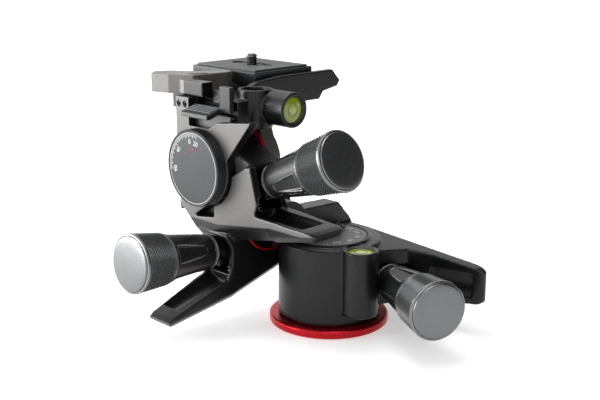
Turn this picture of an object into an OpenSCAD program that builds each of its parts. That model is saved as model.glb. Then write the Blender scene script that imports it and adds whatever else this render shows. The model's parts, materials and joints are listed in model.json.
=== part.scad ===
// Three-way geared tripod head: pan base, lateral tilt, front tilt and a plate clamp.
// Origin: centre of the base underside on the pan axis. +Z is up, the lens looks along +Y.

/* [Axes] */
// X of the lateral tilt axis, which runs along Y
lateral_x = -16; // [-18:0.5:-14]
// Height of the lateral tilt axis
lateral_z = 54.5; // [54.5:0.5:57]
// Y of the lateral gear plane
lateral_y = 39; // [39:0.5:41]
// Y of the front tilt axis, which runs along X
front_y = 44.3; // [43:0.1:46]
// Height of the front tilt axis
front_z = 84.5; // [84.5:0.5:88]
// X of the front gear plane
front_x = -33; // [-35:0.5:-33]
// Height of the pan gear plane
pan_gear_z = 26.4; // [25:0.2:27]
// Rise of the front knob above level, in degrees
front_rise = 21; // [18:1:22]
// Rise of the lateral knob above level, in degrees
lateral_rise = 4.9; // [2:0.1:8]
// Turn of the pan knob away from -Y, in degrees
pan_turn = 22.2; // [20:0.2:24]

/* [Gears] */
// Gear module of all three worm drives
gear_module = 0.75; // [0.7:0.01:0.78]
// Teeth on each tilt wheel
tilt_teeth = 34; // [33:1:35]
// Teeth on the pan wheel
pan_teeth = 52; // [51:1:53]
// Pitch radius of the worms
worm_r = 4.4; // [4.3:0.05:4.6]
// Half the depth of the worm thread
thread_half = 0.75; // [0.65:0.05:0.8]
// Length of a worm
worm_len = 8; // [6:0.5:9]
// Reach of a wheel tooth past the pitch line
tooth_reach = 0.35; // [0.2:0.05:0.4]
// Depth of a wheel tooth
tooth_depth = 1.4; // [1.3:0.05:1.6]
// Width of a wheel tooth at its tip
tooth_tip = 0.4; // [0.3:0.05:0.45]
// Slope of a tooth flank, in degrees
tooth_flank = 20; // [14:1:22]
// Face width of the wheels
wheel_face = 4; // [3:0.5:4.5]

/* [Knobs] */
// Radius of a knob at its outer end
knob_r = 15.2; // [14:0.1:16]
// Radius of a knob at its neck
neck_r = 9; // [8.5:0.1:9.2]
// Length of a knob from neck to end face
knob_len = 50.5; // [48:0.5:54]
// Length of the knurled grip band
grip_len = 20; // [16:0.5:22]
// Number of flutes on the cone
flute_count = 4; // [3:1:6]
// Turn of the flutes about the knob
flute_turn = 22; // [0:1:45]
// Depth of the seat of an end cap
cap_seat = 1.6; // [1:0.1:2.5]
// Rise of the end cap's dome
cap_dome = 1.2; // [0.4:0.1:2]
// Distance from a tilt wheel's centre line to its knob's neck
tilt_neck = 32.9; // [32.5:0.1:35]
// Distance from the pan wheel's centre line to its knob's neck
pan_neck = 24.4; // [24:0.1:26]

/* [Worm carriers] */
// Radius of the worm shafts
shaft_r = 3; // [2.6:0.1:3]
// Outer radius of a carrier's sleeve
sleeve_r = 6; // [5.2:0.1:6.2]
// Thickness of a carrier's floor bar
floor_t = 2.6; // [2:0.1:3]
// Width of a carrier's floor bar
carrier_w = 8; // [7:0.5:8]
// Distance from the worm's middle back to the pivot pin
pivot_back = 20; // [19:0.5:21]
// Radius of the pivot pins
pin_r = 2; // [1.5:0.1:2.2]
// Distance from the worm's middle out to the release spring
spring_u = 16; // [14:0.5:18]
// Mean radius of a release spring
spring_r = 2.8; // [2.4:0.1:3]
// Wire diameter of a release spring
spring_wire = 0.8; // [0.6:0.1:0.9]
// Turns of a release spring
spring_turns = 5; // [4:1:6]

/* [Gear cases] */
// Width of a tilt gear case along its gear axis
case_w = 21; // [20.5:0.1:21]
// Width of the carrier's slot in a gear case
slot_w = 14; // [13:0.5:14.5]
// Outer radius of a tilt hub
hub_r = 17; // [16.6:0.1:17]
// Radius of the gear chamber in a tilt hub
chamber_r = 14; // [13.8:0.1:14.2]
// Thickness of a hub cover
cover_t = 3.5; // [3:0.1:4]
// Radius of the rounded back end of a gear case
back_r = 9.5; // [8.5:0.5:10]
// Reach of a release wing from its gear axis
wing_reach = 66; // [60:1:70]
// Drop of a release wing's tip below the worm axis
wing_drop = 32; // [31:0.5:34]
// Thickness of the front gear case's left cheek
side_t = 4; // [3:0.5:4.5]
// Radius of the trough along a release wing
trough_r = 9; // [8.5:0.5:10]
// Depth of the trough near the gear case
trough_deep = 4.2; // [3:0.1:4.5]
// Narrowing of a release wing towards its tip
wing_trim = 4; // [3:0.5:5]
// Chamfer along the underside of a gear case
case_bevel = 4; // [3:0.5:4.5]
// Depth of the front case's keel below its gear axis
hull_deep = 41.2; // [40:0.2:42]
// Chamfer along the front case's keel
hull_bevel = 6.5; // [5:0.5:7]
// Radius of the tilt shafts
tilt_shaft_r = 6; // [5.5:0.1:6]
// Radius of the front wheel's sleeve
wheel_sleeve_r = 9; // [8.5:0.1:9.5]

/* [Base] */
// Radius of the base ring
ring_r = 32; // [31:0.5:34]
// Height of the base ring
ring_h = 4.8; // [4:0.1:5]
// Inner radius of the base ring
ring_seat_r = 24; // [23:0.5:25]
// Radius of the pan post
post_r = 9; // [8.6:0.1:9.2]
// Wall radius of the tripod thread
thread_r = 4; // [3.9:0.05:4.2]
// Depth of the tripod thread
thread_len = 14; // [12:0.5:16]
// Outer radius of the thread bush
bush_r = 7; // [6.5:0.1:7.4]

/* [Pan housing] */
// Radius of the pan housing
pan_r = 27; // [26.5:0.1:27.4]
// Height of the pan housing's top
pan_top = 46; // [45:0.5:47]
// Radius of the pan scale
scale_r = 20; // [19:0.5:20.5]
// X of the level boss
boss_x = -6.8; // [-8:0.1:-6.8]
// Y of the level boss
boss_y = -28.5; // [-29:0.1:-28]
// Radius of the level boss
boss_r = 9.2; // [9:0.1:9.2]
// Height of the level boss's lower end
boss_low = 12; // [10:1:18]
// Radius of a level vial
vial_r = 6.8; // [6:0.1:7]
// Height of a level vial
vial_h = 4; // [3:0.5:5]
// Front face of the upright bracket
fin_y0 = 12; // [11:0.5:13]
// Thickness of the upright bracket
fin_t = 11.5; // [10:0.5:11.5]
// Radius of the bracket's hub
fin_hub_r = 11; // [10:0.5:11]

/* [Clamp] */
// Outer radius of the front dial
dial_r = 20.3; // [19:0.1:20.5]
// Thickness of the front dial
dial_t = 6; // [5:0.1:7]
// Thickness of the left stem
stem_t = 5.5; // [5:0.1:6]
// Thickness of the right leg
leg_t = 8.5; // [7:0.5:9]
// Radius of the right leg's hub cap
leg_r = 20; // [18:0.5:20]
// Height of the clamp's underside
clamp_low = 112; // [111:0.5:113]
// Height of the clamp's seat
clamp_top = 119.5; // [119:0.5:121]
// X of the plate's centre
plate_x = 7; // [6:0.5:9]
// Y of the plate's centre
plate_y = 67.5; // [67:0.5:69]
// Width of the plate
plate_w = 43; // [42:0.5:43]
// Length of the plate
plate_l = 52; // [50:0.5:52]
// Height of the plate
plate_h = 10.2; // [9:0.1:11]
// Thickness of the plate's pad
pad_t = 1; // [0.8:0.1:1.5]
// Radius of the camera screw
screw_r = 3.175; // [3:0.025:3.25]
// Free length of the camera screw above the pad
screw_free = 5.5; // [4.5:0.1:6]
// X of the upright level tube
tube_x = -25.9; // [-27:0.1:-25]
// Y of the upright level tube
tube_y = 28.7; // [27:0.1:29]
// Outer radius of the level housings on the clamp
tube_r = 9.1; // [8.8:0.1:9.3]
// Height of the upright tube's rim
tube_top = 124.5; // [123:0.5:126]
// X of the side level
side_x = -20.1; // [-21:0.1:-18]
// Y of the side level's face
side_y = 5.7; // [5.5:0.1:8]
// Height of the side level's axis
side_z = 115.1; // [115:0.1:117]
// X of the lever's pivot
lever_x = -40; // [-40.5:0.1:-39.5]
// Y of the lever's pivot
lever_y = 65; // [64.5:0.1:66]
// Thickness of the lever
lever_t = 10; // [8:0.5:10]
// Reach of the lever's handle from its pivot
lever_reach = 22; // [20:0.5:24]

/* [Clearances] */
// Radial running clearance of shafts and pins
fit = 0.05; // [0.02:0.01:0.08]
// Clearance of fixed seats
seat = 0.02; // [0.01:0.01:0.03]
// Clearance between moving castings
gap = 0.5; // [0.4:0.05:0.6]

/* [Hidden] */
$fn = 64;
coarse = 18;
overcut = 1;
tilt_cd = gear_module * tilt_teeth / 2 + worm_r;
pan_cd = gear_module * pan_teeth / 2 + worm_r;
lead = PI * gear_module;
case_half = case_w / 2;
face_half = wheel_face / 2;
chamber_half = face_half + 1;
crest_r = worm_r + thread_half;
floor_top = crest_r + 0.45;
floor_low = floor_top + floor_t;
sleeve_in = 11;
cheek_in = 10.5;
cheek_t = 3.5;
swing = tan(5);
slot_roof = sleeve_r + 1.5;
slot_back = pivot_back + pin_r + 2.8;
spring_pocket = 10.5;
spring_low = floor_low + spring_pocket;
stem_out = case_half + gap + stem_t;
stem_r = hub_r + 3.5;
wing_root = [tilt_neck - 5, -tilt_cd - floor_low - 6.5];
wing_top = [wing_reach - 3, -tilt_cd - wing_drop + 2.5];
wing_nose = [wing_reach, -tilt_cd - wing_drop];
keel_tip = [wing_reach - 4, -tilt_cd - wing_drop - 2.5];
keel_mid = [spring_u + 4, -tilt_cd - spring_low - 6];
keel_back = [-pivot_back - back_r * 0.6, -tilt_cd - back_r * 0.8];
tilt_keel = [keel_back, keel_mid, keel_tip];
hull_slant = hull_deep * sin(front_rise);
hull_plumb = hull_deep * cos(front_rise);
front_keel = [
    [-pivot_back * 0.8 - hull_slant * 0.87, -hull_plumb * 0.69],
    [-hull_plumb * 0.276 - hull_slant * 0.983, hull_slant * 0.276 - hull_plumb * 0.983],
    [-hull_plumb * 0.058 - hull_slant, hull_slant * 0.058 - hull_plumb],
    [hull_plumb * 0.245 - hull_slant * 0.951, -hull_slant * 0.245 - hull_plumb * 0.951],
    [hull_plumb * 1.17 - hull_slant * 0.767, -hull_slant * 1.17 - hull_plumb * 0.767],
    keel_tip
];
leg_in = case_half + 2;
post_top = pan_top - 1.5;
retainer_r = 13;
retainer_low = pan_top - 6;
bush_wall = 2;
wheel_room_r = pan_cd - worm_r + tooth_reach + 1.2;
wheel_room_top = pan_top - 16;
pan_cover_t = 5;
scale_t = 1.2;
scale_rim = 2;
vial_drop = 0.8;
vial_play = 0.3;
tube_drop = 5;
side_drop = 1.2;
hub_screw_r = 2;
hub_screw_in = 6;
cap_rim = 1.2;
rim_edge = 0.6;
ring_t = 1.5;
black = "#26272a";
grey = "#8b8d90";
steel = "#b9bcc0";
bronze = "#a98443";
red = "#b3141c";
lime = "#c5d83a";

// Gear frames: origin on the wheel's axis, +X along the knob, the worm below at -Y.
module at_pan() {
    translate([0, 0, pan_gear_z]) rotate([180, 0, -90 - pan_turn]) children();
}

module at_lateral() {
    translate([lateral_x, lateral_y, lateral_z]) rotate([90, 0, 180]) rotate([0, 0, lateral_rise])
        children();
}

module at_front() {
    translate([front_x, front_y, front_z]) rotate([90, 0, -90]) rotate([0, 0, front_rise])
        children();
}

// A cylinder of radius r along local X from u0 to u1 at height v
module rod(r, u0, u1, v = 0) {
    translate([u0, v, 0]) rotate([0, 90, 0]) cylinder(r = r, h = u1 - u0);
}

// A washer or disc along +Z
module disc(r, z0, z1, bore = 0) {
    translate([0, 0, z0]) difference() {
        cylinder(r = r, h = z1 - z0);
        if (bore > 0) translate([0, 0, -overcut]) cylinder(r = bore, h = z1 - z0 + 2 * overcut);
    }
}

// Outline of a worm wheel with one tooth pointing at the worm
function tooth(a, root_r, tip_r, root_half, tip_half) = [
    for (s = [[root_r, -root_half], [tip_r, -tip_half], [tip_r, tip_half], [root_r, root_half]])
        let (b = a + asin(s[1] / s[0])) s[0] * [cos(b), sin(b)]
];

module wheel_outline(teeth) {
    tip_r = gear_module * teeth / 2 + tooth_reach;
    root_r = tip_r - tooth_depth;
    root_half = tooth_tip / 2 + tooth_depth * tan(tooth_flank);
    polygon([
        for (i = [0 : teeth - 1])
            each tooth(i * 360 / teeth - 90, root_r, tip_r, root_half, tooth_tip / 2)
    ]);
}

module worm_wheel(teeth, bore) {
    difference() {
        linear_extrude(wheel_face, center = true) wheel_outline(teeth);
        cylinder(r = bore, h = wheel_face + 2 * overcut, center = true);
    }
}

// Single-start worm: an off-centre circle turned once per lead, bored for its shaft
module worm(cd) {
    turn = 360 * worm_len / lead;
    translate([0, -cd, 0]) rotate([0, 90, 0]) difference() {
        rotate([0, 0, turn / 2])
            linear_extrude(worm_len, center = true, twist = turn, slices = ceil(turn / 45), $fn = coarse)
                translate([0, -thread_half]) circle(worm_r, $fn = coarse);
        cylinder(r = shaft_r + seat, h = worm_len + 2 * overcut, center = true);
    }
}

module worm_shaft(cd, neck) {
    rod(shaft_r, -cheek_in - cheek_t - 1, neck + knob_len * 0.7, -cd);
}

// Worm carrier: sleeve, inner cheek and floor bar on a pivot boss
module carrier(cd, neck) {
    half = carrier_w / 2;
    difference() {
        union() {
            rod(sleeve_r, sleeve_in, neck - 1.5, -cd);
            translate([-cheek_in - cheek_t, -cd - floor_low, -half])
                cube([cheek_in + cheek_t + neck - 4, floor_t, carrier_w]);
            translate([-cheek_in - cheek_t, -cd - floor_low, -half])
                cube([cheek_t, floor_low + sleeve_r - 1, carrier_w]);
            translate([sleeve_in, -cd - floor_low, -half])
                cube([neck - 4 - sleeve_in, floor_low, carrier_w]);
            translate([-pivot_back, -cd - pin_r - 1, -half])
                cube([pivot_back - cheek_in - cheek_t / 2, 2 * pin_r + 2, carrier_w]);
            translate([-pivot_back, -cd, -half]) cylinder(r = pin_r + 2.2, h = carrier_w);
        }
        rod(shaft_r + fit, -pivot_back + pin_r + 2.6, neck, -cd);
        translate([-pivot_back, -cd, -half - overcut])
            cylinder(r = pin_r + fit, h = carrier_w + 2 * overcut);
    }
}

module pivot_pin(cd) {
    translate([-pivot_back, -cd, -case_half]) cylinder(r = pin_r, h = case_w);
}

// Points of one ring of the spring's wire at turn angle a
function wire_ring(a, r, rise, wire) = [
    for (k = [0 : 5])
        let (b = k * 60, s = r + wire / 2 * cos(b))
            [s * cos(a), s * sin(a), a / 360 * rise + wire / 2 * sin(b)]
];

// Release spring between the carrier's floor and its pocket
module release_spring(cd) {
    free = spring_pocket - spring_wire - 2 * gap;
    rise = free / spring_turns;
    steps = spring_turns * 8;
    rings = [for (i = [0 : steps]) wire_ring(i * 45, spring_r, rise, spring_wire)];
    points = [for (ring = rings) each ring];
    walls = [
        for (i = [0 : steps - 1], k = [0 : 5])
            let (a = i * 6 + k, b = i * 6 + (k + 1) % 6)
                each [[a, a + 6, b], [b, a + 6, b + 6]]
    ];
    low_end = [for (k = [1 : 4]) [0, k, k + 1]];
    high_end = [for (k = [1 : 4]) [steps * 6, steps * 6 + k + 1, steps * 6 + k]];
    echo(spring_gap = rise - spring_wire);
    translate([spring_u, -cd - spring_low + gap + spring_wire / 2, 0]) rotate([-90, 0, 0])
        polyhedron(points, concat(walls, low_end, high_end));
}

// Fluted conical knob along local X from its neck
module knob(cd, neck) {
    cone_len = knob_len - grip_len;
    cone_r = neck_r + (knob_r - neck_r) * cone_len / knob_len;
    flute_in = cone_len * 0.28;
    flute_half = cone_r * 0.36;
    flute_nose = cone_r * 0.2;
    flute_r = neck_r + 0.7;
    translate([neck, -cd, 0]) rotate([90, 0, 90]) difference() {
        rotate_extrude() polygon([
            [shaft_r + seat, 0], [neck_r - rim_edge, 0], [neck_r, 2], [cone_r, cone_len],
            [cone_r + 0.5, cone_len + 0.3], [knob_r, knob_len - 2], [knob_r - rim_edge, knob_len],
            [knob_r - cap_rim + seat, knob_len], [knob_r - cap_rim + seat, knob_len - cap_seat],
            [shaft_r + seat, knob_len - cap_seat]
        ]);
        for (i = [0 : flute_count - 1]) rotate([0, 0, flute_turn + i * 360 / flute_count])
            translate([flute_r, 0, 0]) rotate([0, 90, 0]) linear_extrude(knob_r)
                polygon([
                    [-flute_in, flute_nose], [-cone_len + 2, flute_half], [-cone_len + 2, -flute_half],
                    [-flute_in, -flute_nose]
                ]);
    }
}

module knob_cap(cd, neck) {
    translate([neck + knob_len - cap_seat + seat, -cd, 0]) rotate([90, 0, 90]) rotate_extrude()
        polygon([
            [0, 0], [knob_r - cap_rim, 0], [knob_r - cap_rim, cap_seat], [knob_r * 0.6, cap_seat + cap_dome],
            [0, cap_seat + cap_dome]
        ]);
}

// Side outline of a tilt gear case with its release wing
module case_outline(keel) {
    circle(hub_r);
    translate([-pivot_back, -tilt_cd]) circle(back_r);
    polygon(concat(
        [[-hub_r * 0.94, hub_r * 0.3], [-pivot_back - back_r * 0.9, -tilt_cd + back_r * 0.4]],
        keel,
        [
            wing_nose, wing_top, wing_root, [tilt_neck - 7.5, -tilt_cd - sleeve_r],
            [tilt_neck - 6.5, -tilt_cd + 3], [tilt_neck - 1.4, -tilt_cd + slot_roof + 2],
            [hub_r * 0.5, hub_r * 0.86]
        ]
    ));
}

// Cheek on the front case's left side, clear of the stem's disc and of its lowest swing
module cheek_outline() {
    difference() {
        intersection() {
            union() {
                case_outline(front_keel);
                polygon([
                    [tilt_neck * 0.5, -tilt_cd + slot_roof], [tilt_neck + 1, -tilt_cd + slot_roof + 2],
                    [tilt_neck - 1, -tilt_cd - floor_low - 2], wing_root, [tilt_neck * 0.5, wing_root[1]]
                ]);
            }
            rotate([0, 0, -front_rise]) polygon([
                [-2 * stem_r, -stem_r - gap], [0, -stem_r - gap], [stem_r, -stem_r * 0.11],
                [stem_r * 2.2, stem_r * 0.6], [stem_r * 5, stem_r * 0.6], [stem_r * 5, -stem_r * 4],
                [-2 * stem_r, -stem_r * 4]
            ]);
        }
        circle(stem_r + gap);
    }
}

// Trough along the top of a release wing, at offset w from the gear plane
module wing_trough(w) {
    a = wing_root + [-3, trough_r - trough_deep];
    d = wing_top + [-5, trough_r - trough_deep * 0.4] - a;
    translate([a[0], a[1], w]) rotate([0, 0, atan2(d[1], d[0])]) rotate([0, 90, 0])
        cylinder(r = trough_r, h = norm(d));
}

// Wedge that narrows a wing towards its tip, on the side that w points to
module wing_wedge(w) {
    out = sign(w) * 2 * wing_trim;
    rotate([90, 0, 0]) linear_extrude(4 * wing_reach, center = true) polygon([
        [tilt_neck, w], [wing_reach + wing_trim, w - sign(w) * wing_trim],
        [wing_reach + wing_trim, w + out], [tilt_neck, w + out]
    ]);
}

// Block beside the line from a to b at offset w, whose inner face is the chamfer
module bevel_block(a, b, w, leg, before, after) {
    d = b - a;
    side = 3 * leg;
    translate([a[0], a[1], w]) rotate([0, 0, atan2(d[1], d[0])]) rotate([45, 0, 0])
        translate([-before, -side, -leg / sqrt(2)])
            cube([before + norm(d) + after, 2 * side, side]);
}

module keel_bevel(w) {
    run_out = 2 * case_bevel;
    bevel_block(keel_back, keel_mid, w, case_bevel, run_out, overcut);
    bevel_block(keel_mid, keel_tip, w, case_bevel * 0.85, overcut, run_out);
}

module hull_chamfer(w, leg) {
    run_out = 2 * case_bevel;
    for (i = [0 : 3])
        bevel_block(front_keel[i], front_keel[i + 1], w, leg, run_out, overcut);
    bevel_block(front_keel[4], keel_tip, w, case_bevel * 0.85, overcut, run_out);
}

module front_case() {
    difference() {
        union() {
            linear_extrude(case_w, center = true) case_outline(front_keel);
            translate([0, 0, case_half - gap]) linear_extrude(side_t + gap) cheek_outline();
        }
        wing_trough(side_t);
        wing_wedge(-case_half);
        hull_chamfer(case_half + side_t, hull_bevel);
        mirror([0, 0, 1]) hull_chamfer(case_half, hull_bevel + 3);
        translate([0, 0, case_half - 2]) linear_extrude(side_t + 2 + overcut) polygon([
            [-pivot_back, -tilt_cd - 5.8], [0, -tilt_cd - 1.2], [-3.5, -tilt_cd - 9.5]
        ]);
    }
}

module lateral_case() {
    difference() {
        linear_extrude(case_w, center = true) case_outline(tilt_keel);
        wing_trough(0);
        wing_wedge(case_half);
        keel_bevel(case_half);
        mirror([0, 0, 1]) keel_bevel(case_half);
    }
}

// Space that a carrier and its knob swing in
module slot_outline(cd, neck, reach) {
    out = neck + reach;
    far = floor_low + 1 + swing * (out + pivot_back);
    polygon([
        [-slot_back, -cd - pin_r - 3.2], [-slot_back, -cd + pin_r + 3.2],
        [-cheek_in, -cd + slot_roof], [out, -cd + slot_roof], [out, -cd - far],
        [-cheek_in - cheek_t, -cd - floor_low - 1.4]
    ]);
}

// Everything that a carrier takes out of its casting
module carrier_space(cd, neck, reach) {
    linear_extrude(slot_w, center = true) slot_outline(cd, neck, reach);
    translate([-pivot_back, -cd, -case_half - overcut])
        cylinder(r = pin_r + seat, h = case_w + 2 * overcut);
    translate([spring_u, -cd - spring_low, 0]) rotate([-90, 0, 0])
        cylinder(r = spring_r + 1.4, h = spring_low);
}

module tilt_case_space(wall_bore) {
    carrier_space(tilt_cd, tilt_neck, 10);
    disc(chamber_r, -chamber_half, case_half + overcut);
    disc(wall_bore, -case_half - overcut, 0);
}

// Base, which stays with the tripod
module base_ring() {
    color(red) rotate_extrude() polygon([
        [ring_seat_r + seat, 0], [ring_r - 1.2, 0], [ring_r, 1.2], [ring_r, ring_h - 0.9],
        [ring_r - 0.9, ring_h], [pan_r + 0.8, ring_h], [ring_seat_r + seat, ring_h]
    ]);
}

module base_hub() {
    color(steel) difference() {
        rotate_extrude() polygon([
            [bush_r + seat, 0], [ring_seat_r, 0], [ring_seat_r, ring_h - 0.3],
            [post_r, ring_h - 0.3], [post_r, post_top], [0, post_top], [0, thread_len + seat],
            [bush_r + seat, thread_len + seat]
        ]);
        for (a = [90, 210, 330]) rotate([0, 0, a]) translate([ring_seat_r - hub_screw_in, 0, -overcut])
            cylinder(r = hub_screw_r + seat, h = ring_h + 2 * overcut);
    }
}

module thread_bush() {
    color(bronze) disc(bush_r, 0, thread_len, thread_r);
}

module pan_wheel() {
    color(bronze) at_pan() worm_wheel(pan_teeth, post_r + seat);
}

module pan_retainer() {
    color(steel) disc(retainer_r, retainer_low, post_top, post_r + seat);
}

module base_screws() {
    color(steel) for (a = [90, 210, 330]) rotate([0, 0, a]) translate([ring_seat_r - hub_screw_in, 0, 0.3])
        cylinder(r = hub_screw_r, h = ring_h - 0.9);
}

// Pan body with the wing and the upright bracket
pan_wing_y = boss_y - 45;
pan_wing_in = [pan_r + 3, boss_y - 17.5];
pan_wing_out = [pan_r + 8, pan_wing_y + 3];

module wing_plan() {
    polygon([
        [0, 0], [6, pan_r - 3], [pan_r + 8, fin_y0 + fin_t - 1], [pan_r + 13, 6], [pan_r + 14, -18],
        [pan_r + 14.5, pan_wing_y + 3], [pan_r + 12.5, pan_wing_y], [pan_r + 9.5, pan_wing_y],
        pan_wing_out, pan_wing_in, [pan_r - 3, boss_y - 6], [6, -pan_r + 1]
    ]);
}

module wing_side() {
    polygon([
        [fin_y0 + fin_t, pan_top - 36], [fin_y0 + fin_t, pan_top], [0, pan_top],
        [pan_wing_y + 4, pan_gear_z + 10], [pan_wing_y, pan_gear_z + 8],
        [pan_wing_y, pan_gear_z - 8], [pan_wing_y + 2, pan_gear_z - 9.5],
        [-30, pan_gear_z - 14], [-10, pan_top - 36]
    ]);
}

// Trough along the pan wing's inner face
module pan_trough() {
    d = pan_wing_out - pan_wing_in;
    translate([pan_wing_in[0], pan_wing_in[1], pan_gear_z]) rotate([0, 0, atan2(d[1], d[0])])
        translate([-1, trough_deep * 0.6 - trough_r, 0]) rotate([0, 90, 0])
            cylinder(r = trough_r, h = norm(d) - 1);
}

module wing_front() {
    polygon([
        [-pan_r, 0], [-pan_r, pan_top], [pan_r + 2, pan_top], [pan_r + 15, pan_gear_z + 9],
        [pan_r + 15, 0]
    ]);
}

module fin_outline() {
    translate([lateral_x, lateral_z]) circle(fin_hub_r);
    polygon([
        [lateral_x - 4, pan_top - 6], [lateral_x - 6, lateral_z], [lateral_x, lateral_z + 6],
        [lateral_x + 8, lateral_z + 5.5], [20, lateral_z + 4.5], [29, pan_top + 3],
        [pan_r + 4, pan_top], [pan_r + 3, pan_top - 6]
    ]);
}

module pan_housing() {
    color(black) difference() {
        union() {
            disc(pan_r, ring_h + gap, pan_top);
            disc(scale_r + scale_rim, pan_top - 1, pan_top + scale_t + 0.4, scale_r + 0.3);
            translate([boss_x, boss_y, 0]) disc(boss_r, boss_low, pan_top + 0.4);
            intersection() {
                linear_extrude(pan_top) wing_plan();
                rotate([90, 0, 90]) linear_extrude(pan_r * 3, center = true) wing_side();
                translate([0, fin_y0 + fin_t, 0]) rotate([90, 0, 0]) linear_extrude(pan_r * 4)
                    wing_front();
            }
            translate([0, fin_y0 + fin_t, 0]) rotate([90, 0, 0]) linear_extrude(fin_t) fin_outline();
        }
        disc(wheel_room_r, -overcut, wheel_room_top);
        disc(post_r + bush_wall + seat, 0, retainer_low);
        disc(retainer_r + 1.5, retainer_low - 0.3, pan_top);
        translate([boss_x, boss_y, 0])
            disc(vial_r + vial_play, pan_top - vial_h - vial_drop, pan_top + overcut);
        at_pan() carrier_space(pan_cd, pan_neck, 5);
        pan_trough();
        translate([lateral_x, fin_y0 - overcut, lateral_z]) rotate([-90, 0, 0])
            cylinder(r = tilt_shaft_r + seat, h = fin_t + 2 * overcut);
    }
}

module pan_cover() {
    color(black) disc(wheel_room_r - seat, ring_h + gap, ring_h + gap + pan_cover_t, post_r + fit);
}

module pan_bush() {
    color(bronze) disc(post_r + bush_wall, wheel_room_top + 0.1, retainer_low - 0.4, post_r + fit);
}

module pan_scale() {
    color(grey) difference() {
        disc(scale_r, pan_top + seat, pan_top + scale_t);
        translate([-scale_r, fin_y0 - 0.3, pan_top - overcut])
            cube([2 * scale_r, scale_r, scale_t + 2 * overcut]);
    }
}

module pan_vial() {
    color(lime) translate([boss_x, boss_y, 0])
        disc(vial_r, pan_top - vial_h - vial_drop + seat, pan_top - vial_drop);
}

module pan_pin() {
    color(steel) at_pan() pivot_pin(pan_cd);
}

module pan_spring() {
    color(steel) at_pan() release_spring(pan_cd);
}

module lateral_shaft() {
    color(steel) translate([lateral_x, fin_y0, lateral_z]) rotate([-90, 0, 0])
        cylinder(r = tilt_shaft_r, h = lateral_y + case_half - fin_y0);
}

module lateral_wheel() {
    color(bronze) at_lateral() worm_wheel(tilt_teeth, tilt_shaft_r + seat);
}

module lateral_collar() {
    color(steel) at_lateral()
        disc(tilt_shaft_r + 3, face_half + seat, case_half - cover_t - gap, tilt_shaft_r + seat);
}

module pan_carrier() {
    color(grey) at_pan() carrier(pan_cd, pan_neck);
}

module pan_shaft() {
    color(steel) at_pan() worm_shaft(pan_cd, pan_neck);
}

module pan_worm() {
    color(steel) at_pan() worm(pan_cd);
}

module pan_knob() {
    color(black) at_pan() knob(pan_cd, pan_neck);
}

module pan_knob_cap() {
    color(grey) at_pan() knob_cap(pan_cd, pan_neck);
}

// Centre casting: both tilt gear cases in one piece, clear of the pan bracket
module bracket_space() {
    y0 = fin_y0 - gap;
    y1 = fin_y0 + fin_t + 3;
    translate([lateral_x, y1, lateral_z]) rotate([90, 0, 0]) {
        cylinder(r = fin_hub_r + gap, h = y1 - y0);
        rotate([0, 0, 200]) cube([60, 60, y1 - y0]);
    }
}

module centre_casting() {
    color(black) difference() {
        union() {
            at_front() front_case();
            at_lateral() lateral_case();
        }
        at_front() tilt_case_space(tilt_shaft_r + seat);
        at_lateral() tilt_case_space(tilt_shaft_r + fit);
        at_lateral() disc(hub_r + 1.5 + gap, -case_half - 0.9 - gap, -case_half);
        bracket_space();
    }
}

module lateral_cover() {
    color(grey) difference() {
        at_lateral() disc(chamber_r - seat, case_half - cover_t, case_half, tilt_shaft_r + fit);
        at_front() carrier_space(tilt_cd, tilt_neck, 0);
    }
}

module front_cover() {
    color(grey) at_front()
        disc(chamber_r - seat, case_half - cover_t, case_half, wheel_sleeve_r + fit);
}

module lateral_ring() {
    color(red) at_lateral() difference() {
        disc(hub_r + 1.5, -case_half - 0.9, -case_half, hub_r - 1.5);
        rotate([0, 0, -lateral_rise]) translate([-30, -6, -30]) cube([60, 60, 60]);
    }
}

module front_ring() {
    color(red) at_front() difference() {
        disc(leg_r + 0.3, -case_half - ring_t, -case_half, hub_r - 4);
        rotate([0, 0, -front_rise]) translate([-30, -60 - leg_r * 0.5, -30]) cube([60, 60, 60]);
    }
}

module front_axle() {
    color(steel) at_front() translate([0, 0, -leg_in - leg_t])
        cylinder(r = tilt_shaft_r, h = leg_in + leg_t + stem_out + 2.5);
}

module front_dial() {
    color(grey) at_front() difference() {
        disc(dial_r, stem_out + gap, stem_out + gap + dial_t);
        disc(tilt_shaft_r + seat, 0, stem_out + 2.5 + seat);
    }
}

module lateral_pin() {
    color(steel) at_lateral() pivot_pin(tilt_cd);
}

module front_pin() {
    color(steel) at_front() pivot_pin(tilt_cd);
}

module lateral_spring() {
    color(steel) at_lateral() release_spring(tilt_cd);
}

module front_spring() {
    color(steel) at_front() release_spring(tilt_cd);
}

module lateral_carrier() {
    color(grey) at_lateral() carrier(tilt_cd, tilt_neck);
}

module lateral_worm_shaft() {
    color(steel) at_lateral() worm_shaft(tilt_cd, tilt_neck);
}

module lateral_worm() {
    color(steel) at_lateral() worm(tilt_cd);
}

module lateral_knob() {
    color(black) at_lateral() knob(tilt_cd, tilt_neck);
}

module lateral_knob_cap() {
    color(grey) at_lateral() knob_cap(tilt_cd, tilt_neck);
}

module front_carrier() {
    color(grey) at_front() carrier(tilt_cd, tilt_neck);
}

module front_worm_shaft() {
    color(steel) at_front() worm_shaft(tilt_cd, tilt_neck);
}

module front_worm() {
    color(steel) at_front() worm(tilt_cd);
}

module front_knob() {
    color(black) at_front() knob(tilt_cd, tilt_neck);
}

module front_knob_cap() {
    color(grey) at_front() knob_cap(tilt_cd, tilt_neck);
}

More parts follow.
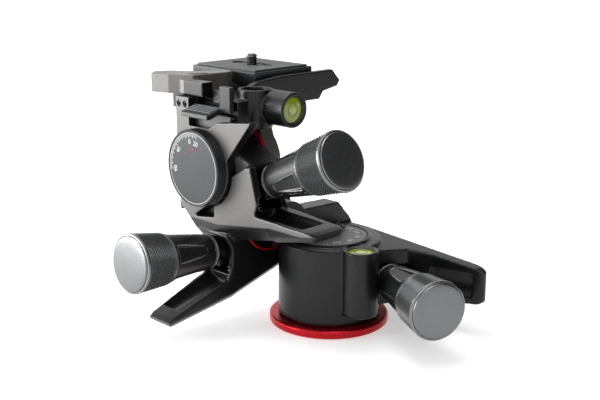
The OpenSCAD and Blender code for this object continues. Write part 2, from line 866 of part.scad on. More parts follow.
// Clamp
plate_x0 = plate_x - plate_w / 2;
plate_x1 = plate_x + plate_w / 2;
plate_y0 = plate_y - plate_l / 2;
plate_y1 = plate_y + plate_l / 2;
plate_low = clamp_top + 0.3;
plate_top = plate_low + plate_h;
stem_x1 = front_x - case_half - gap;
stem_x0 = stem_x1 - stem_t;
jaw_y0 = plate_y0 - 5;
jaw_y1 = plate_y0 - 1.2;
tube_len = 20;
side_len = 18;
rail_w = 5.5;
rail_h = 5.5;
jaw_reach = 17.5;
jaw_drop = 2.5;
bracket_x = tube_x + 15;
screw_hole_r = 1.6;
slot_deep = 3;
slot_r = 2;
slot_len = 8;
catch_y0 = jaw_y0 + 2;
catch_y1 = lever_y - 11;
thumb_y0 = catch_y0 - 6;
catch_x = lever_x + 2;
post_x = catch_x - 3.5;
post_y = tube_y - 4.2;
catch_z = clamp_low + 3;
catch_pin_r = 1.5;
thumb_top = clamp_top + lever_t * 0.75;
lever_r = 3.2;

module block(x0, x1, y0, y1, z0, z1) {
    translate([x0, y0, z0]) cube([x1 - x0, y1 - y0, z1 - z0]);
}

module platform_plan() {
    polygon([
        [post_x, post_y], [tube_x, post_y], [side_x - tube_r * 0.8, side_y + 6],
        [bracket_x, side_y + 6], [bracket_x, jaw_y1 + 0.3],
        [plate_x1 + rail_w, jaw_y1 + 0.3], [plate_x1 + rail_w, plate_y1 - 4],
        [plate_x1 + 1.5, plate_y1 + 2.5],
        [plate_x0 + 2, plate_y1 + 2.5], [plate_x0 - 4, plate_y1 - 6], [lever_x + 4, lever_y + 11],
        [stem_x1, lever_y + 9], [stem_x1, catch_y1], [lever_x + 10, catch_y1],
        [lever_x + 10, catch_y0 - 0.4], [post_x, catch_y0 - 0.4]
    ]);
}

module clamp_platform() {
    color(black) difference() {
        union() {
            translate([0, 0, clamp_low]) linear_extrude(clamp_top - clamp_low) platform_plan();
            block(plate_x1 + 0.7, plate_x1 + rail_w, jaw_y1 + 2, plate_y1 - 5, clamp_low, clamp_top + rail_h);
            translate([tube_x, tube_y, 0]) disc(tube_r, tube_top - tube_len, tube_top);
            block(post_x, tube_x, post_y, tube_y + 4, tube_top - tube_len, clamp_low + 1);
            translate([side_x, side_y, side_z]) rotate([-90, 0, 0]) disc(tube_r, 0, side_len);
        }
        translate([tube_x, tube_y, 0])
            disc(vial_r + vial_play, tube_top - vial_h - tube_drop, tube_top + overcut);
        translate([side_x, side_y, side_z]) rotate([-90, 0, 0])
            disc(vial_r + vial_play, -overcut, vial_h + side_drop);
        translate([lever_x, lever_y, 0]) disc(lever_r + fit, clamp_low - overcut, clamp_top + overcut);
        translate([catch_x, catch_y0 - 3.2, catch_z]) rotate([-90, 0, 0])
            cylinder(r = catch_pin_r + seat, h = catch_y1 - catch_y0 + 6.4);
    }
}

// Room for the upright level tube in the pieces beside it
module tube_space() {
    translate([tube_x, tube_y, 0]) disc(tube_r + seat, tube_top - tube_len - seat, tube_top + overcut);
}

module stem_outline() {
    translate([front_y, front_z]) circle(stem_r);
    polygon([
        [front_y + stem_r - 0.2, front_z], [front_y + stem_r - 0.2, clamp_top], [catch_y1, clamp_top],
        [catch_y1, clamp_low - 7], [catch_y0, clamp_low - 7], [thumb_y0 - 0.5, clamp_low - 3],
        [side_y + 1.5, clamp_low], [side_y + 1, clamp_low - 0.6], [front_y - hub_r, front_z + 2.5]
    ]);
}

module left_stem() {
    color(grey) difference() {
        translate([stem_x0, 0, 0]) rotate([90, 0, 90]) linear_extrude(stem_t) stem_outline();
        at_front() disc(wheel_sleeve_r + seat, 0, stem_out + overcut);
        clamp_screw_holes();
    }
}

module leg_outline() {
    circle(tilt_shaft_r + 5.5);
    intersection() {
        circle(leg_r);
        polygon([[5, -4], [-2 * leg_r, -leg_r * 0.4], [-2 * leg_r, 2 * leg_r], [leg_r, 2 * leg_r]]);
    }
}

module leg_web_outline() {
    polygon([
        [-leg_r * 0.85, leg_r * 0.35], [-leg_r * 0.5, clamp_low - front_z],
        [leg_r * 0.7, clamp_low - front_z], [leg_r * 0.45, leg_r * 0.6], [3, -2], [-5, -2]
    ]);
}

module right_leg() {
    color(grey) difference() {
        translate([front_x + leg_in, front_y, front_z]) rotate([90, 0, 90]) {
            linear_extrude(leg_t) leg_outline();
            linear_extrude(leg_t) leg_web_outline();
        }
        at_front() disc(tilt_shaft_r + fit, -leg_in - leg_t - overcut, 0);
        tube_space();
    }
}

module front_wheel() {
    color(bronze) at_front() {
        worm_wheel(tilt_teeth, tilt_shaft_r + fit);
        disc(wheel_sleeve_r, face_half, stem_out - 0.3, tilt_shaft_r + fit);
    }
}

module jaw_outline() {
    polygon([
        [plate_x0 - 13.5, clamp_top + seat], [plate_x0 - 11.5, clamp_top + 3],
        [plate_x0 - 2, plate_top - jaw_drop - 1.5], [plate_x0 + plate_w / 3, plate_top - jaw_drop],
        [plate_x1 + jaw_reach - 6, plate_top - jaw_drop], [plate_x1 + jaw_reach, clamp_top + 1.5],
        [plate_x1 + jaw_reach - 2, clamp_top - 1.5], [plate_x1 + 4, clamp_low + 4],
        [plate_x1 + 1, clamp_low], [bracket_x + 0.3, clamp_low], [bracket_x + 0.3, clamp_top + seat]
    ]);
}

module fixed_jaw() {
    color(black) difference() {
        translate([0, jaw_y1, 0]) rotate([90, 0, 0]) linear_extrude(jaw_y1 - jaw_y0) jaw_outline();
        tube_space();
    }
}

screw_places = [for (y = [3, 8]) [catch_y1 + y, (clamp_low + clamp_top) / 2]];

module clamp_screw_holes() {
    for (p = screw_places) translate([stem_x0 - overcut, p[0], p[1]]) rotate([0, 90, 0])
        cylinder(r = screw_hole_r, h = stem_t + 2 * overcut);
}

module clamp_screws() {
    color(black) for (p = screw_places) translate([stem_x0 + 0.4, p[0], p[1]]) rotate([0, 90, 0])
        cylinder(r = screw_hole_r - seat, h = stem_t - 0.4);
}

module tube_vial() {
    color(lime) translate([tube_x, tube_y, 0])
        disc(vial_r, tube_top - vial_h - tube_drop + seat, tube_top - tube_drop);
}

module side_vial() {
    color(lime) translate([side_x, side_y, side_z]) rotate([-90, 0, 0])
        disc(vial_r, side_drop, vial_h + side_drop - seat);
}

module catch_pin() {
    color(steel) translate([catch_x, catch_y0 - 3, catch_z]) rotate([-90, 0, 0])
        cylinder(r = catch_pin_r, h = catch_y1 - catch_y0 + 6);
}

// Quick-release lever, closed against the plate
module lever_plan() {
    polygon([
        [lever_x - 2, lever_y - 6], [plate_x0 - 6, lever_y - 8.5], [plate_x0 - 1.8, lever_y - 7],
        [plate_x0 - 1.8, lever_y - 2], [plate_x0 - 8, lever_y + 2], [lever_x + 8, lever_y + 8],
        [lever_x + 2, lever_y + lever_reach - 4], [lever_x - 6, lever_y + lever_reach],
        [lever_x - 12, lever_y + lever_reach - 5], [lever_x - 9, lever_y + 6]
    ]);
}

module qr_lever() {
    z0 = clamp_top + 0.4;
    color(grey) difference() {
        union() {
            translate([0, 0, z0]) linear_extrude(lever_t) lever_plan();
            translate([lever_x, lever_y, 0]) disc(lever_r, clamp_low + 0.5, z0 + 1);
            block(lever_x - 6, lever_x + 1, lever_y - 18, lever_y, z0, z0 + lever_t * 0.75);
        }
        translate([lever_x + 1, lever_y - 2, z0 + lever_t - slot_deep]) rotate([0, 0, -20]) {
            cylinder(r = slot_r, h = slot_deep + overcut);
            translate([slot_len, 0, 0]) cylinder(r = slot_r, h = slot_deep + overcut);
            translate([0, -slot_r, 0]) cube([slot_len, 2 * slot_r, slot_deep + overcut]);
        }
    }
}

// Side outline of the thumb piece, which slopes down outside the stem
module thumb_outline(out) {
    polygon([
        [post_x - 1, catch_z + 1.2], [stem_x1 - 1, catch_z + 1.2], [out, catch_z - 1.8],
        [out - 0.3, catch_z - 4], [out + 2, catch_z - 4.2], [stem_x1, catch_z - 1.2],
        [post_x - 1, catch_z - 1.2]
    ]);
}

module safety_catch() {
    y0 = catch_y0 + 0.4;
    y1 = catch_y1 - 0.4;
    out = stem_x0 - 5.5;
    color(black) difference() {
        union() {
            translate([0, y1, 0]) rotate([90, 0, 0]) linear_extrude(y1 - thumb_y0) thumb_outline(out);
            block(post_x - 1.5, catch_x, y0, y1, catch_z - 1.2, catch_z + 1.2);
            block(stem_x1 - 2, stem_x1 + 1, thumb_y0 - 7, thumb_y0 + 1, catch_z - 1.2, thumb_top);
            translate([catch_x, y0, catch_z]) rotate([-90, 0, 0]) cylinder(r = catch_pin_r + 2, h = y1 - y0);
            block(catch_x - 2.5, catch_x + 2.5, y0, y0 + 6, catch_z, clamp_top + 4);
        }
        translate([catch_x, y0 - overcut, catch_z]) rotate([-90, 0, 0])
            cylinder(r = catch_pin_r + fit, h = y1 - y0 + 2 * overcut);
    }
}

module plate() {
    color(grey) difference() {
        translate([0, plate_y1, 0]) rotate([90, 0, 0]) linear_extrude(plate_l) polygon([
            [plate_x0, plate_top], [plate_x1, plate_top], [plate_x1, plate_low + 4.5],
            [plate_x1 - 3, plate_low], [plate_x0 + 3, plate_low], [plate_x0, plate_low + 4.5]
        ]);
        translate([plate_x, plate_y, 0]) disc(screw_r + 0.12, plate_low - overcut, plate_top + overcut);
        translate([plate_x, plate_y, 0]) disc(8.5, plate_low - overcut, plate_low + 5);
    }
}

module plate_pad() {
    color(black) difference() {
        block(plate_x0 + 2, plate_x1 - 2, plate_y0 + 2, plate_y1 - 2, plate_top, plate_top + pad_t);
        translate([plate_x, plate_y, 0]) disc(7, plate_top - overcut, plate_top + pad_t + overcut);
    }
}

module camera_screw() {
    color(steel) translate([plate_x, plate_y, 0]) {
        disc(8, plate_low + 0.4, plate_low + 4.7);
        disc(screw_r * 0.82, plate_low + 2, plate_top + pad_t);
        disc(screw_r, plate_top + 0.3, plate_top + pad_t + screw_free);
    }
}

base_ring();
base_hub();
thread_bush();
pan_wheel();
pan_retainer();
base_screws();
pan_housing();
pan_cover();
pan_bush();
pan_scale();
pan_vial();
pan_pin();
pan_spring();
lateral_shaft();
lateral_wheel();
lateral_collar();
pan_carrier();
pan_shaft();
pan_worm();
pan_knob();
pan_knob_cap();
centre_casting();
lateral_cover();
front_cover();
lateral_ring();
front_ring();
front_axle();
front_dial();
lateral_pin();
front_pin();
lateral_spring();
front_spring();
lateral_carrier();
lateral_worm_shaft();
lateral_worm();
lateral_knob();
lateral_knob_cap();
front_carrier();
front_worm_shaft();
front_worm();
front_knob();
front_knob_cap();
clamp_platform();
left_stem();
right_leg();
front_wheel();
fixed_jaw();
clamp_screws();
tube_vial();
side_vial();
catch_pin();
qr_lever();
safety_catch();
plate();
plate_pad();
camera_screw();
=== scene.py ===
# Looks of a three-way geared tripod head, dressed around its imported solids
import json
import math
import bpy
from mathutils import Matrix, Vector


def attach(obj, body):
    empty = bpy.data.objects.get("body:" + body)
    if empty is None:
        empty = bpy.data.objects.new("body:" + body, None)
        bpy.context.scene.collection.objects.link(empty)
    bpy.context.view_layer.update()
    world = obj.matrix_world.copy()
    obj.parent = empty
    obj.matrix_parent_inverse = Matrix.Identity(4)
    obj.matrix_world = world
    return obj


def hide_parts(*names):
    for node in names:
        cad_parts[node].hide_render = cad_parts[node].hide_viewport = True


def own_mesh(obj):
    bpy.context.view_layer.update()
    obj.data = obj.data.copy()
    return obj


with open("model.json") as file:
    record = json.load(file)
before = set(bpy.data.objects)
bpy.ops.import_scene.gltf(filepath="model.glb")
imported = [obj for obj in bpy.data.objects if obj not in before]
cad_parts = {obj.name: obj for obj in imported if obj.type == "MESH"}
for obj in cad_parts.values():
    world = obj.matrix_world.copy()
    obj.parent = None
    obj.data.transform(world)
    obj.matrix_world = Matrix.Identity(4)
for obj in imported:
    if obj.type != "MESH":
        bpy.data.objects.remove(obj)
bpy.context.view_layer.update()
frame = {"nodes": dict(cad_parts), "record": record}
MM = 0.001
WELD = 0.002 * MM
QUARTER = math.radians(90)

# Drives, in mm as the solids have them: worm to wheel (CD), worm to the knob's neck, and the wheels' middles
TILT_CD = 17.15
PAN_CD = 23.9
TILT_NECK = 32.9
PAN_NECK = 24.4
PAN_TURN = math.radians(22.2)
LATERAL_RISE = math.radians(4.9)
FRONT_RISE = math.radians(21.0)
PAN_AT = Vector((0, 0, 26.4))
LATERAL_AT = Vector((-16, 39, 54.5))
FRONT_AT = Vector((-33, 44.3, 84.5))

# Knobs, with their flutes and knurl
KNOB_R = 15.2
KNOB_LEN = 50.5
KNOB_BORE = 3.1
NECK_R = 9.0
GRIP_LEN = 20.0
CONE_LEN = KNOB_LEN - GRIP_LEN
CONE_R = NECK_R + (KNOB_R - NECK_R) * CONE_LEN / KNOB_LEN
FLUTES = 4
FLUTE_TURN = math.radians(22)
FLUTE_FLOOR = NECK_R + 0.7
FLUTE_START = CONE_LEN * 0.28
FLUTE_END = CONE_LEN - 2.0
FLUTE_WIDTH = CONE_R * 0.4
FLUTE_FLARE = 1.8
FLUTE_EDGE = 1.1
KNURL_LOW = CONE_LEN + 1.0
KNURL_HIGH = KNOB_LEN - 1.7
KNURL_COLUMNS = 56
KNURL_ROWS = 10
KNURL_RISE = 0.6
KNURL_EDGE = 0.1

# Base ring, tilt rings, dial and scale
FOOT_R = 32.0
FOOT_BORE = 22.05
FOOT_H = 4.8
RING_EDGE = 0.2
FRONT_RING_X = -21.75
LATERAL_RING_Y = 28.05
RING_CUT_SIDE = 60.0
RING_CUT_H = 30.0
DIAL_R = 20.3
DIAL_BACK = -50.0
DIAL_THICK = 6.0
DIAL_FACE = 5.65
DIAL_HUB_R = 6.4
DIAL_HUB_SINK = 2.8
DIAL_LINE_R = 18.35
DIAL_LINE_W = 0.27
DIAL_ZERO = 8.0
TILT_LOW = -20
TILT_HIGH = 90
PAN_TOP = 46.0
SCALE_FACE = PAN_TOP + 1.2
SCALE_FROM = 125
SCALE_TO = 415
INK = 0.05
LONG_INK = 0.06
INDEX_SHARE = 0.76
INDEX_SIZE = (0.9, 2.6, 0.12)

# Spirit levels
BOSS = Vector((-6.8, -28.5))
LEVEL_SINK = 4.8
TUBE_LEVEL = Vector((-25.9, 28.7, 115.5))
SIDE_LEVEL = Vector((-20.1, 10.9, 115.1))
VIAL_R = 6.8
VIAL_TOP = 4.0
BEZEL_R = 9.0
MARK_R = 3.0
BUBBLE_R = 2.3
BUBBLE_OFF = (0.3, 0.4, 0)

# Catch and its slot in the stem, clamp screws and lever
SLOT_Y = 26.6
SLOT_LEN = 28.0
WEB_X = -45.0
WEB_Z = 106.75
WEB_H = 10.5
WEB_WALL = 0.6
POCKET_X = -40.2
POCKET_Z = 110.4
POCKET_W = 9.0
POCKET_WALL = 0.5
RIB_FIRST = Vector((-46.5, 33.4, 115.75))
RIB_STEP = Vector((-1.5, 0, -0.44))
RIB_SIZE = (0.6, 19.0, 0.4)
RIBS = 5
CLAMP_SCREW_R = 1.5
CLAMP_SCREW_LEN = 5.0
CLAMP_SCREW_X = -44.0
CLAMP_SCREW_Z = 115.75
CLAMP_SCREW_Y = (57.0, 62.0)
LEVER_HUB_X = (-46.8, -38.2)
LEVER_HUB_Y = 62.0
LEVER_HUB_TOP = 127.3

# Plate, pad and camera screw
PLATE = Vector((7.0, 67.5))
PLATE_TOP = 130.0
PLATE_BEVEL = 0.6
PAD_SLOT_W = 9.0
PAD_SLOT_LEN = 30.0
SLOT_TOOL_H = 4.0
HOLE_TOOL_H = 2.0
TOOL_SINK = 1.0
LINER_H = 0.12
LINER_SINK = 0.04
SCREW_HOLE_W = 6.6
SCREW_HOLE_LEN = 6.7
SCREW_HEAD_R = 8.0
SCREW_HEAD_LOW = 120.2
SCREW_SHANK_R = 2.55
SCREW_TOP = 136.5
THREAD_ROOT = 2.45
THREAD_CREST = 3.12
THREAD_PITCH = 1.27
THREAD_TURNS = 5
THREAD_LOW = PLATE_TOP - 1.5

# Painted light in grey on the gear case's flat left face, which turns to the lamp on the left: how flat to
# the left, how far out, and the line of its keel
CHEEK_FLAT = (-0.86, -0.97)
CHEEK_X = (-42.0, -44.0)
KEEL_Y = (35.0, -5.0)
KEEL_Z = (55.0, 61.0)
KEEL_BLEND = (-0.5, 0.3)

# Colour sockets of a mix node
MIX_A = 6
MIX_B = 7
MIX_OUT = 2


def srgb(code):
    """Linear colour of an sRGB hex value."""
    parts = [int(code[i:i + 2], 16) / 255 for i in (1, 3, 5)]
    return tuple(c / 12.92 if c <= 0.04045 else ((c + 0.055) / 1.055) ** 2.4 for c in parts) + (1.0,)


def emptied(owner):
    """The node tree of a material or world, with nothing in it."""
    owner.use_nodes = True
    owner.node_tree.nodes.clear()
    return owner.node_tree


def add(tree, kind, values=None, links=None, **settings):
    """Adds one node with its settings, its socket values and what feeds it."""
    node = tree.nodes.new(kind)
    for key, value in settings.items():
        setattr(node, key, value)
    for key, value in (values or {}).items():
        node.inputs[key].default_value = value
    for key, source in (links or {}).items():
        tree.links.new(source, node.inputs[key])
    return node


def cheek_mask(tree, spot):
    """Where the painted light falls: 1 on the flat faces to the left that lie above the keel's line, and 0
    elsewhere.
    """
    turn = add(tree, "ShaderNodeSeparateXYZ", None, {0: spot.outputs["Normal"]})
    side = add(tree, "ShaderNodeSeparateXYZ", None, {0: spot.outputs["Object"]})
    flat = add(tree, "ShaderNodeMapRange", {"From Min": CHEEK_FLAT[0], "From Max": CHEEK_FLAT[1]},
               {"Value": turn.outputs["X"]})
    outer = add(tree, "ShaderNodeMapRange", {"From Min": CHEEK_X[0] * MM, "From Max": CHEEK_X[1] * MM},
                {"Value": side.outputs["X"]})
    slant = add(tree, "ShaderNodeMapRange",
                {"From Min": KEEL_Y[0] * MM, "From Max": KEEL_Y[1] * MM,
                 "To Min": KEEL_Z[0] * MM, "To Max": KEEL_Z[1] * MM}, {"Value": side.outputs["Y"]})
    above = add(tree, "ShaderNodeMath", None, {0: side.outputs["Z"], 1: slant.outputs[0]},
                operation="SUBTRACT")
    keel = add(tree, "ShaderNodeMapRange", {"From Min": KEEL_BLEND[0] * MM, "From Max": KEEL_BLEND[1] * MM},
               {"Value": above.outputs[0]})
    mask = flat.outputs[0]
    for other in (outer, keel):
        both = add(tree, "ShaderNodeMath", None, {0: mask, 1: other.outputs[0]}, operation="MULTIPLY")
        mask = both.outputs[0]
    return mask


def material(name, dark, light, rough, metallic=0.0, grain_mm=0.5, patch_mm=14.0, bump_mm=0.01,
             spread=0.08, rings_mm=0.0, edge_highlight="", edge_highlight_ramp=(0.53, 0.60), groove_shade="", groove_shade_ramp=(0.50, 0.44),
             cheek_light="", **sockets):
    """A finish whose colour drifts between two tones, with a grain that roughens and bumps it.

    rings_mm is the pitch of turning marks round the Z axis. After it come the tone of a painted highlight
    along its edges, with how sharp it is where it starts and where it is full, then the same for a painted
    shade in its hollows, and last the tone of painted light on the gear case's flat faces that turn to the
    lamp on the left."""
    made = bpy.data.materials.new(name)
    tree = emptied(made)
    spot = add(tree, "ShaderNodeTexCoord")
    place = spot.outputs["Object"]
    patches = add(tree, "ShaderNodeTexNoise", {"Scale": 1 / (patch_mm * MM), "Detail": 3.0},
                  {"Vector": place})
    grain = add(tree, "ShaderNodeTexNoise", {"Scale": 1 / (grain_mm * MM), "Detail": 2.0},
                {"Vector": place})
    tone = add(tree, "ShaderNodeMix", {MIX_A: srgb(dark), MIX_B: srgb(light)}, {0: patches.outputs["Fac"]},
               data_type="RGBA").outputs[MIX_OUT]
    # Painted light in grey on the gear case's flat faces that turn to the lamp on the left
    layers = [(cheek_light, cheek_mask(tree, spot))] if cheek_light else []
    # Painted highlight along convex edges and painted shade in hollows, both taken from the mesh's pointiness
    for colour, (start, full) in ((edge_highlight, edge_highlight_ramp), (groove_shade, groove_shade_ramp)):
        if colour:
            sharp = add(tree, "ShaderNodeNewGeometry").outputs["Pointiness"]
            where = add(tree, "ShaderNodeMapRange", {"From Min": start, "From Max": full}, {"Value": sharp})
            layers.append((colour, where.outputs[0]))
    for colour, mask in layers:
        tone = add(tree, "ShaderNodeMix", {MIX_B: srgb(colour)}, {0: mask, MIX_A: tone},
                   data_type="RGBA").outputs[MIX_OUT]
    wear = add(tree, "ShaderNodeMapRange",
               {"From Min": 0.3, "From Max": 0.7, "To Min": rough - spread, "To Max": rough + spread},
               {"Value": grain.outputs["Fac"]})
    height = grain.outputs["Fac"]
    if rings_mm:
        across = add(tree, "ShaderNodeVectorMath", {1: (1, 1, 0)}, {0: place}, operation="MULTIPLY")
        far = add(tree, "ShaderNodeVectorMath", None, {0: across.outputs[0]}, operation="LENGTH")
        turns = add(tree, "ShaderNodeMath", {1: math.tau / (rings_mm * MM)}, {0: far.outputs["Value"]},
                    operation="MULTIPLY")
        height = add(tree, "ShaderNodeMath", None, {0: turns.outputs[0]}, operation="SINE").outputs[0]
    bump = add(tree, "ShaderNodeBump", {"Strength": 0.6, "Distance": bump_mm * MM}, {"Height": height})
    shader = add(tree, "ShaderNodeBsdfPrincipled", {"Metallic": metallic, **sockets},
                 {"Base Color": tone, "Roughness": wear.outputs[0], "Normal": bump.outputs[0]})
    add(tree, "ShaderNodeOutputMaterial", None, {"Surface": shader.outputs[0]})
    return made


COAT_SHEEN = {"Specular IOR Level": 0.32}
CLEAR_GLOSS = {"Coat Weight": 0.6, "Coat Roughness": 0.05}
# Powder coat on cast aluminium: sprayed and baked, a satin black with a fine orange peel and a painted
# highlight along its edges
black_coat = material("black_powder_coat", "#0c0d0e", "#131416", 0.34, grain_mm=0.7, bump_mm=0.010,
                      edge_highlight="#5d5e60", **COAT_SHEEN)
# The same coat on gear case and stem, with its painted edge highlight, and painted light in grey on their
# flat left cheeks, which face the lamp on the left
coat_with_cheek_light = material("black_coat_with_painted_cheek_light", "#0c0d0e", "#131416", 0.34, grain_mm=0.7, patch_mm=9.0,
                      bump_mm=0.010, edge_highlight="#6a6b6c", cheek_light="#6f6e6c", **COAT_SHEEN)
# Bead-blasted, anodised aluminium of lever, right leg and pan bezel: a warm pale grey with soft reflections
warm_grey = material("grey_anodised_aluminium", "#6c6a66", "#777571", 0.42, metallic=0.15, grain_mm=0.4,
                     bump_mm=0.005)
# Satin lacquer of the knobs' end caps: mirrors the room softly, pale towards paper and dark towards shade
cap_lacquer = material("grey_satin_lacquer", "#707173", "#7c7d7f", 0.30, metallic=0.8, grain_mm=0.8,
                       patch_mm=11.0, bump_mm=0.002, spread=0.03)
# Moulded glass-filled nylon of knob cones and level marks: smooth satin black with a painted highlight along
# its edges
black_nylon = material("black_moulded_nylon", "#141516", "#1b1c1d", 0.32, grain_mm=0.6, bump_mm=0.008,
                       edge_highlight="#8f9092", edge_highlight_ramp=(0.507, 0.524))
# Rolled diamond knurl in hard-anodised aluminium: painted shade in its grooves and painted highlights on its
# points
knurl_black = material("knurled_black_anodising", "#38393a", "#434445", 0.28, metallic=0.75, grain_mm=0.4,
                       bump_mm=0.004, edge_highlight="#b9b9b7", groove_shade="#060607")
# Dark anodised aluminium of dials, plate and clamp screws: flat and fine, so it takes an even grey gradient
dark_anodised = material("dark_anodised_aluminium", "#303133", "#37383a", 0.34, metallic=0.55,
                         bump_mm=0.003)
# Screen-printed white marks on dials
print_white = material("white_print", "#d2d2d0", "#dededc", 0.55, bump_mm=0.002)
# Screen-printed red marks on dials
print_red = material("red_print", "#b3241f", "#c02c26", 0.55, bump_mm=0.002)
# Red anodised, lathe-turned aluminium: turning rings under a clear red film, coarser than real ones to show
red_anodised = material("red_anodised_aluminium", "#b1101b", "#c41622", 0.26, metallic=0.72, rings_mm=0.35,
                        bump_mm=0.004)
# The same film on the thin tilt rings, which are stamped and smooth
red_ring = material("red_anodised_ring", "#c01420", "#d01b27", 0.34, metallic=0.45, bump_mm=0.003)
# Lathe-turned steel of shafts, pins and springs: bright with short soft reflections
turned_steel = material("turned_steel", "#9a9c9f", "#a8aaad", 0.32, metallic=1.0, bump_mm=0.004)
# Blackened steel of the camera screw: dark, with painted highlights on the thread crests
black_steel = material("blackened_steel", "#2c2d2e", "#353637", 0.30, metallic=0.8, bump_mm=0.004,
                       edge_highlight="#8c8c8b")
# Machined bronze of wheels and bushes: warm yellow brown
bronze = material("machined_bronze", "#93713c", "#a07c44", 0.34, metallic=1.0, bump_mm=0.004)
# Tinted spirit in an acrylic level: a bright yellow green under a clear gloss
spirit_green = material("tinted_level_spirit", "#a9bf24", "#bdd132", 0.12, bump_mm=0.0, spread=0.02,
                        **CLEAR_GLOSS)
# The air bubble in the level: paler than the spirit around it
bubble_pale = material("level_bubble", "#d3e25a", "#dfec70", 0.10, bump_mm=0.0, spread=0.02, **CLEAR_GLOSS)
# Moulded rubber of the plate's pad: matt dark grey with a fine pebble grain
pad_rubber = material("moulded_pad_rubber", "#3b3c3d", "#454647", 0.58, grain_mm=0.5, bump_mm=0.03)

SLOT_FINISH = {
    "black_casting": black_coat,
    "grey_metal": black_coat,
    "red_anodised": red_anodised,
    "steel": turned_steel,
    "bronze": bronze,
    "knob_plastic": black_nylon,
    "cap_plastic": cap_lacquer,
    "dial": dark_anodised,
    "vial": spirit_green,
    "rubber": pad_rubber,
}
for part in frame["record"]["subparts"]:
    mesh = frame["nodes"][part["node"]].data
    mesh.materials.clear()
    mesh.materials.append(SLOT_FINISH[part["material_slot"]])


# Modelling by hand
def only(obj):
    """Makes one object the selected and active one."""
    if bpy.context.mode != "OBJECT":
        bpy.ops.object.mode_set(mode="OBJECT")
    bpy.ops.object.select_all(action="DESELECT")
    obj.select_set(True)
    bpy.context.view_layer.objects.active = obj
    return obj


def edit(obj, kind="VERT", start="SELECT"):
    """Opens an object's mesh with everything, or nothing, selected."""
    only(obj)
    bpy.ops.object.mode_set(mode="EDIT")
    bpy.ops.mesh.select_mode(type=kind)
    bpy.ops.mesh.select_all(action=start)


def close():
    """Leaves edit mode."""
    bpy.ops.object.mode_set(mode="OBJECT")


def pick_faces(obj, chosen):
    """Opens an object's mesh with the faces selected whose normal a test chooses."""
    edit(obj, "FACE", "DESELECT")
    close()
    for face in obj.data.polygons:
        face.select = chosen(face.normal)
    bpy.ops.object.mode_set(mode="EDIT")


def pick_edges(obj, chosen):
    """Opens an object's mesh with the edges selected that a test on an edge and its ends (mm) chooses."""
    edit(obj, "EDGE", "DESELECT")
    close()
    for edge in obj.data.edges:
        ends = [obj.data.vertices[i].co / MM for i in edge.vertices]
        edge.select = chosen(edge, *ends)
    bpy.ops.object.mode_set(mode="EDIT")


def change(obj, kind, **settings):
    """Adds one modifier with its settings and applies it."""
    only(obj)
    step = obj.modifiers.new(kind.lower(), kind)
    for key, value in settings.items():
        setattr(step, key, value)
    bpy.ops.object.modifier_apply(modifier=step.name)


def weld(obj):
    """Merges an object's doubled points."""
    edit(obj)
    bpy.ops.mesh.remove_doubles(threshold=WELD)
    close()
    return obj


def outward(obj):
    """Turns an object's faces outwards."""
    edit(obj)
    bpy.ops.mesh.normals_make_consistent(inside=False)
    close()
    return obj


def smooth(obj, degrees=30):
    """Shades an object smooth up to an angle, with its large flat faces kept even."""
    only(obj)
    bpy.ops.object.shade_smooth_by_angle(angle=math.radians(degrees))
    change(obj, "WEIGHTED_NORMAL", keep_sharp=True)
    return obj


def bevelled(obj, width_mm, segments, degrees=40):
    """Bevels the edges of an object that are sharper than an angle."""
    change(obj, "BEVEL", width=width_mm * MM, segments=segments, limit_method="ANGLE",
           angle_limit=math.radians(degrees))
    return obj


def softened(obj, voxel_mm, rounds):
    """Gives an object the rounded edges of a moulding: remeshes it fine and smooths it."""
    change(obj, "REMESH", mode="VOXEL", voxel_size=voxel_mm * MM)
    change(obj, "SMOOTH", factor=0.5, iterations=rounds)
    only(obj)
    bpy.ops.object.shade_smooth()
    return obj


def plane(name, size, at=(0, 0, 0)):
    """A new square plane, with its size and place in metres."""
    bpy.ops.object.select_all(action="DESELECT")
    bpy.ops.mesh.primitive_plane_add(size=size, location=at)
    obj = bpy.context.object
    obj.name = name
    return obj


def chain(name, points):
    """A line of edges through (radius, height) points in mm, drawn in the XZ plane."""
    obj = plane(name, MM)
    edit(obj)
    bpy.ops.mesh.merge(type="CENTER")
    here = Vector((0, 0, 0))
    for index, (r, z) in enumerate(points):
        there = Vector((r, 0, z)) * MM
        if index == 0:
            bpy.ops.transform.translate(value=there)
        else:
            bpy.ops.mesh.extrude_region_move(TRANSFORM_OT_translate={"value": there - here})
        here = there
    close()
    return weld(obj)


def turned(name, points, steps=96):
    """A turned piece: a chain taken once round its Z axis."""
    obj = chain(name, points)
    change(obj, "SCREW", axis="Z", steps=steps, render_steps=steps, use_merge_vertices=True,
           merge_threshold=WELD)
    return smooth(outward(weld(obj)), degrees=35)


def bar(name, width, length, height):
    """A flat bar along Y from the origin, in mm, drawn out upwards."""
    obj = plane(name, MM)
    edit(obj, "FACE")
    bpy.ops.transform.resize(value=(width, length, 1), center_override=(0, 0, 0))
    bpy.ops.transform.translate(value=(0, length / 2 * MM, 0))
    bpy.ops.mesh.extrude_region_move(TRANSFORM_OT_translate={"value": (0, 0, height * MM)})
    close()
    return outward(obj)


def rounded_bar(name, width, length, height):
    """A bar with its ends rounded by just under half its width, centred on the origin, from z 0 up."""
    obj = put(bar(name, width, length, height), moved(0, -length / 2, 0))
    pick_edges(obj, lambda edge, a, b: abs(a.z - b.z) > height / 2)
    bpy.ops.mesh.bevel(offset=width * MM * 0.499, segments=10, affect="EDGES")
    close()
    return obj


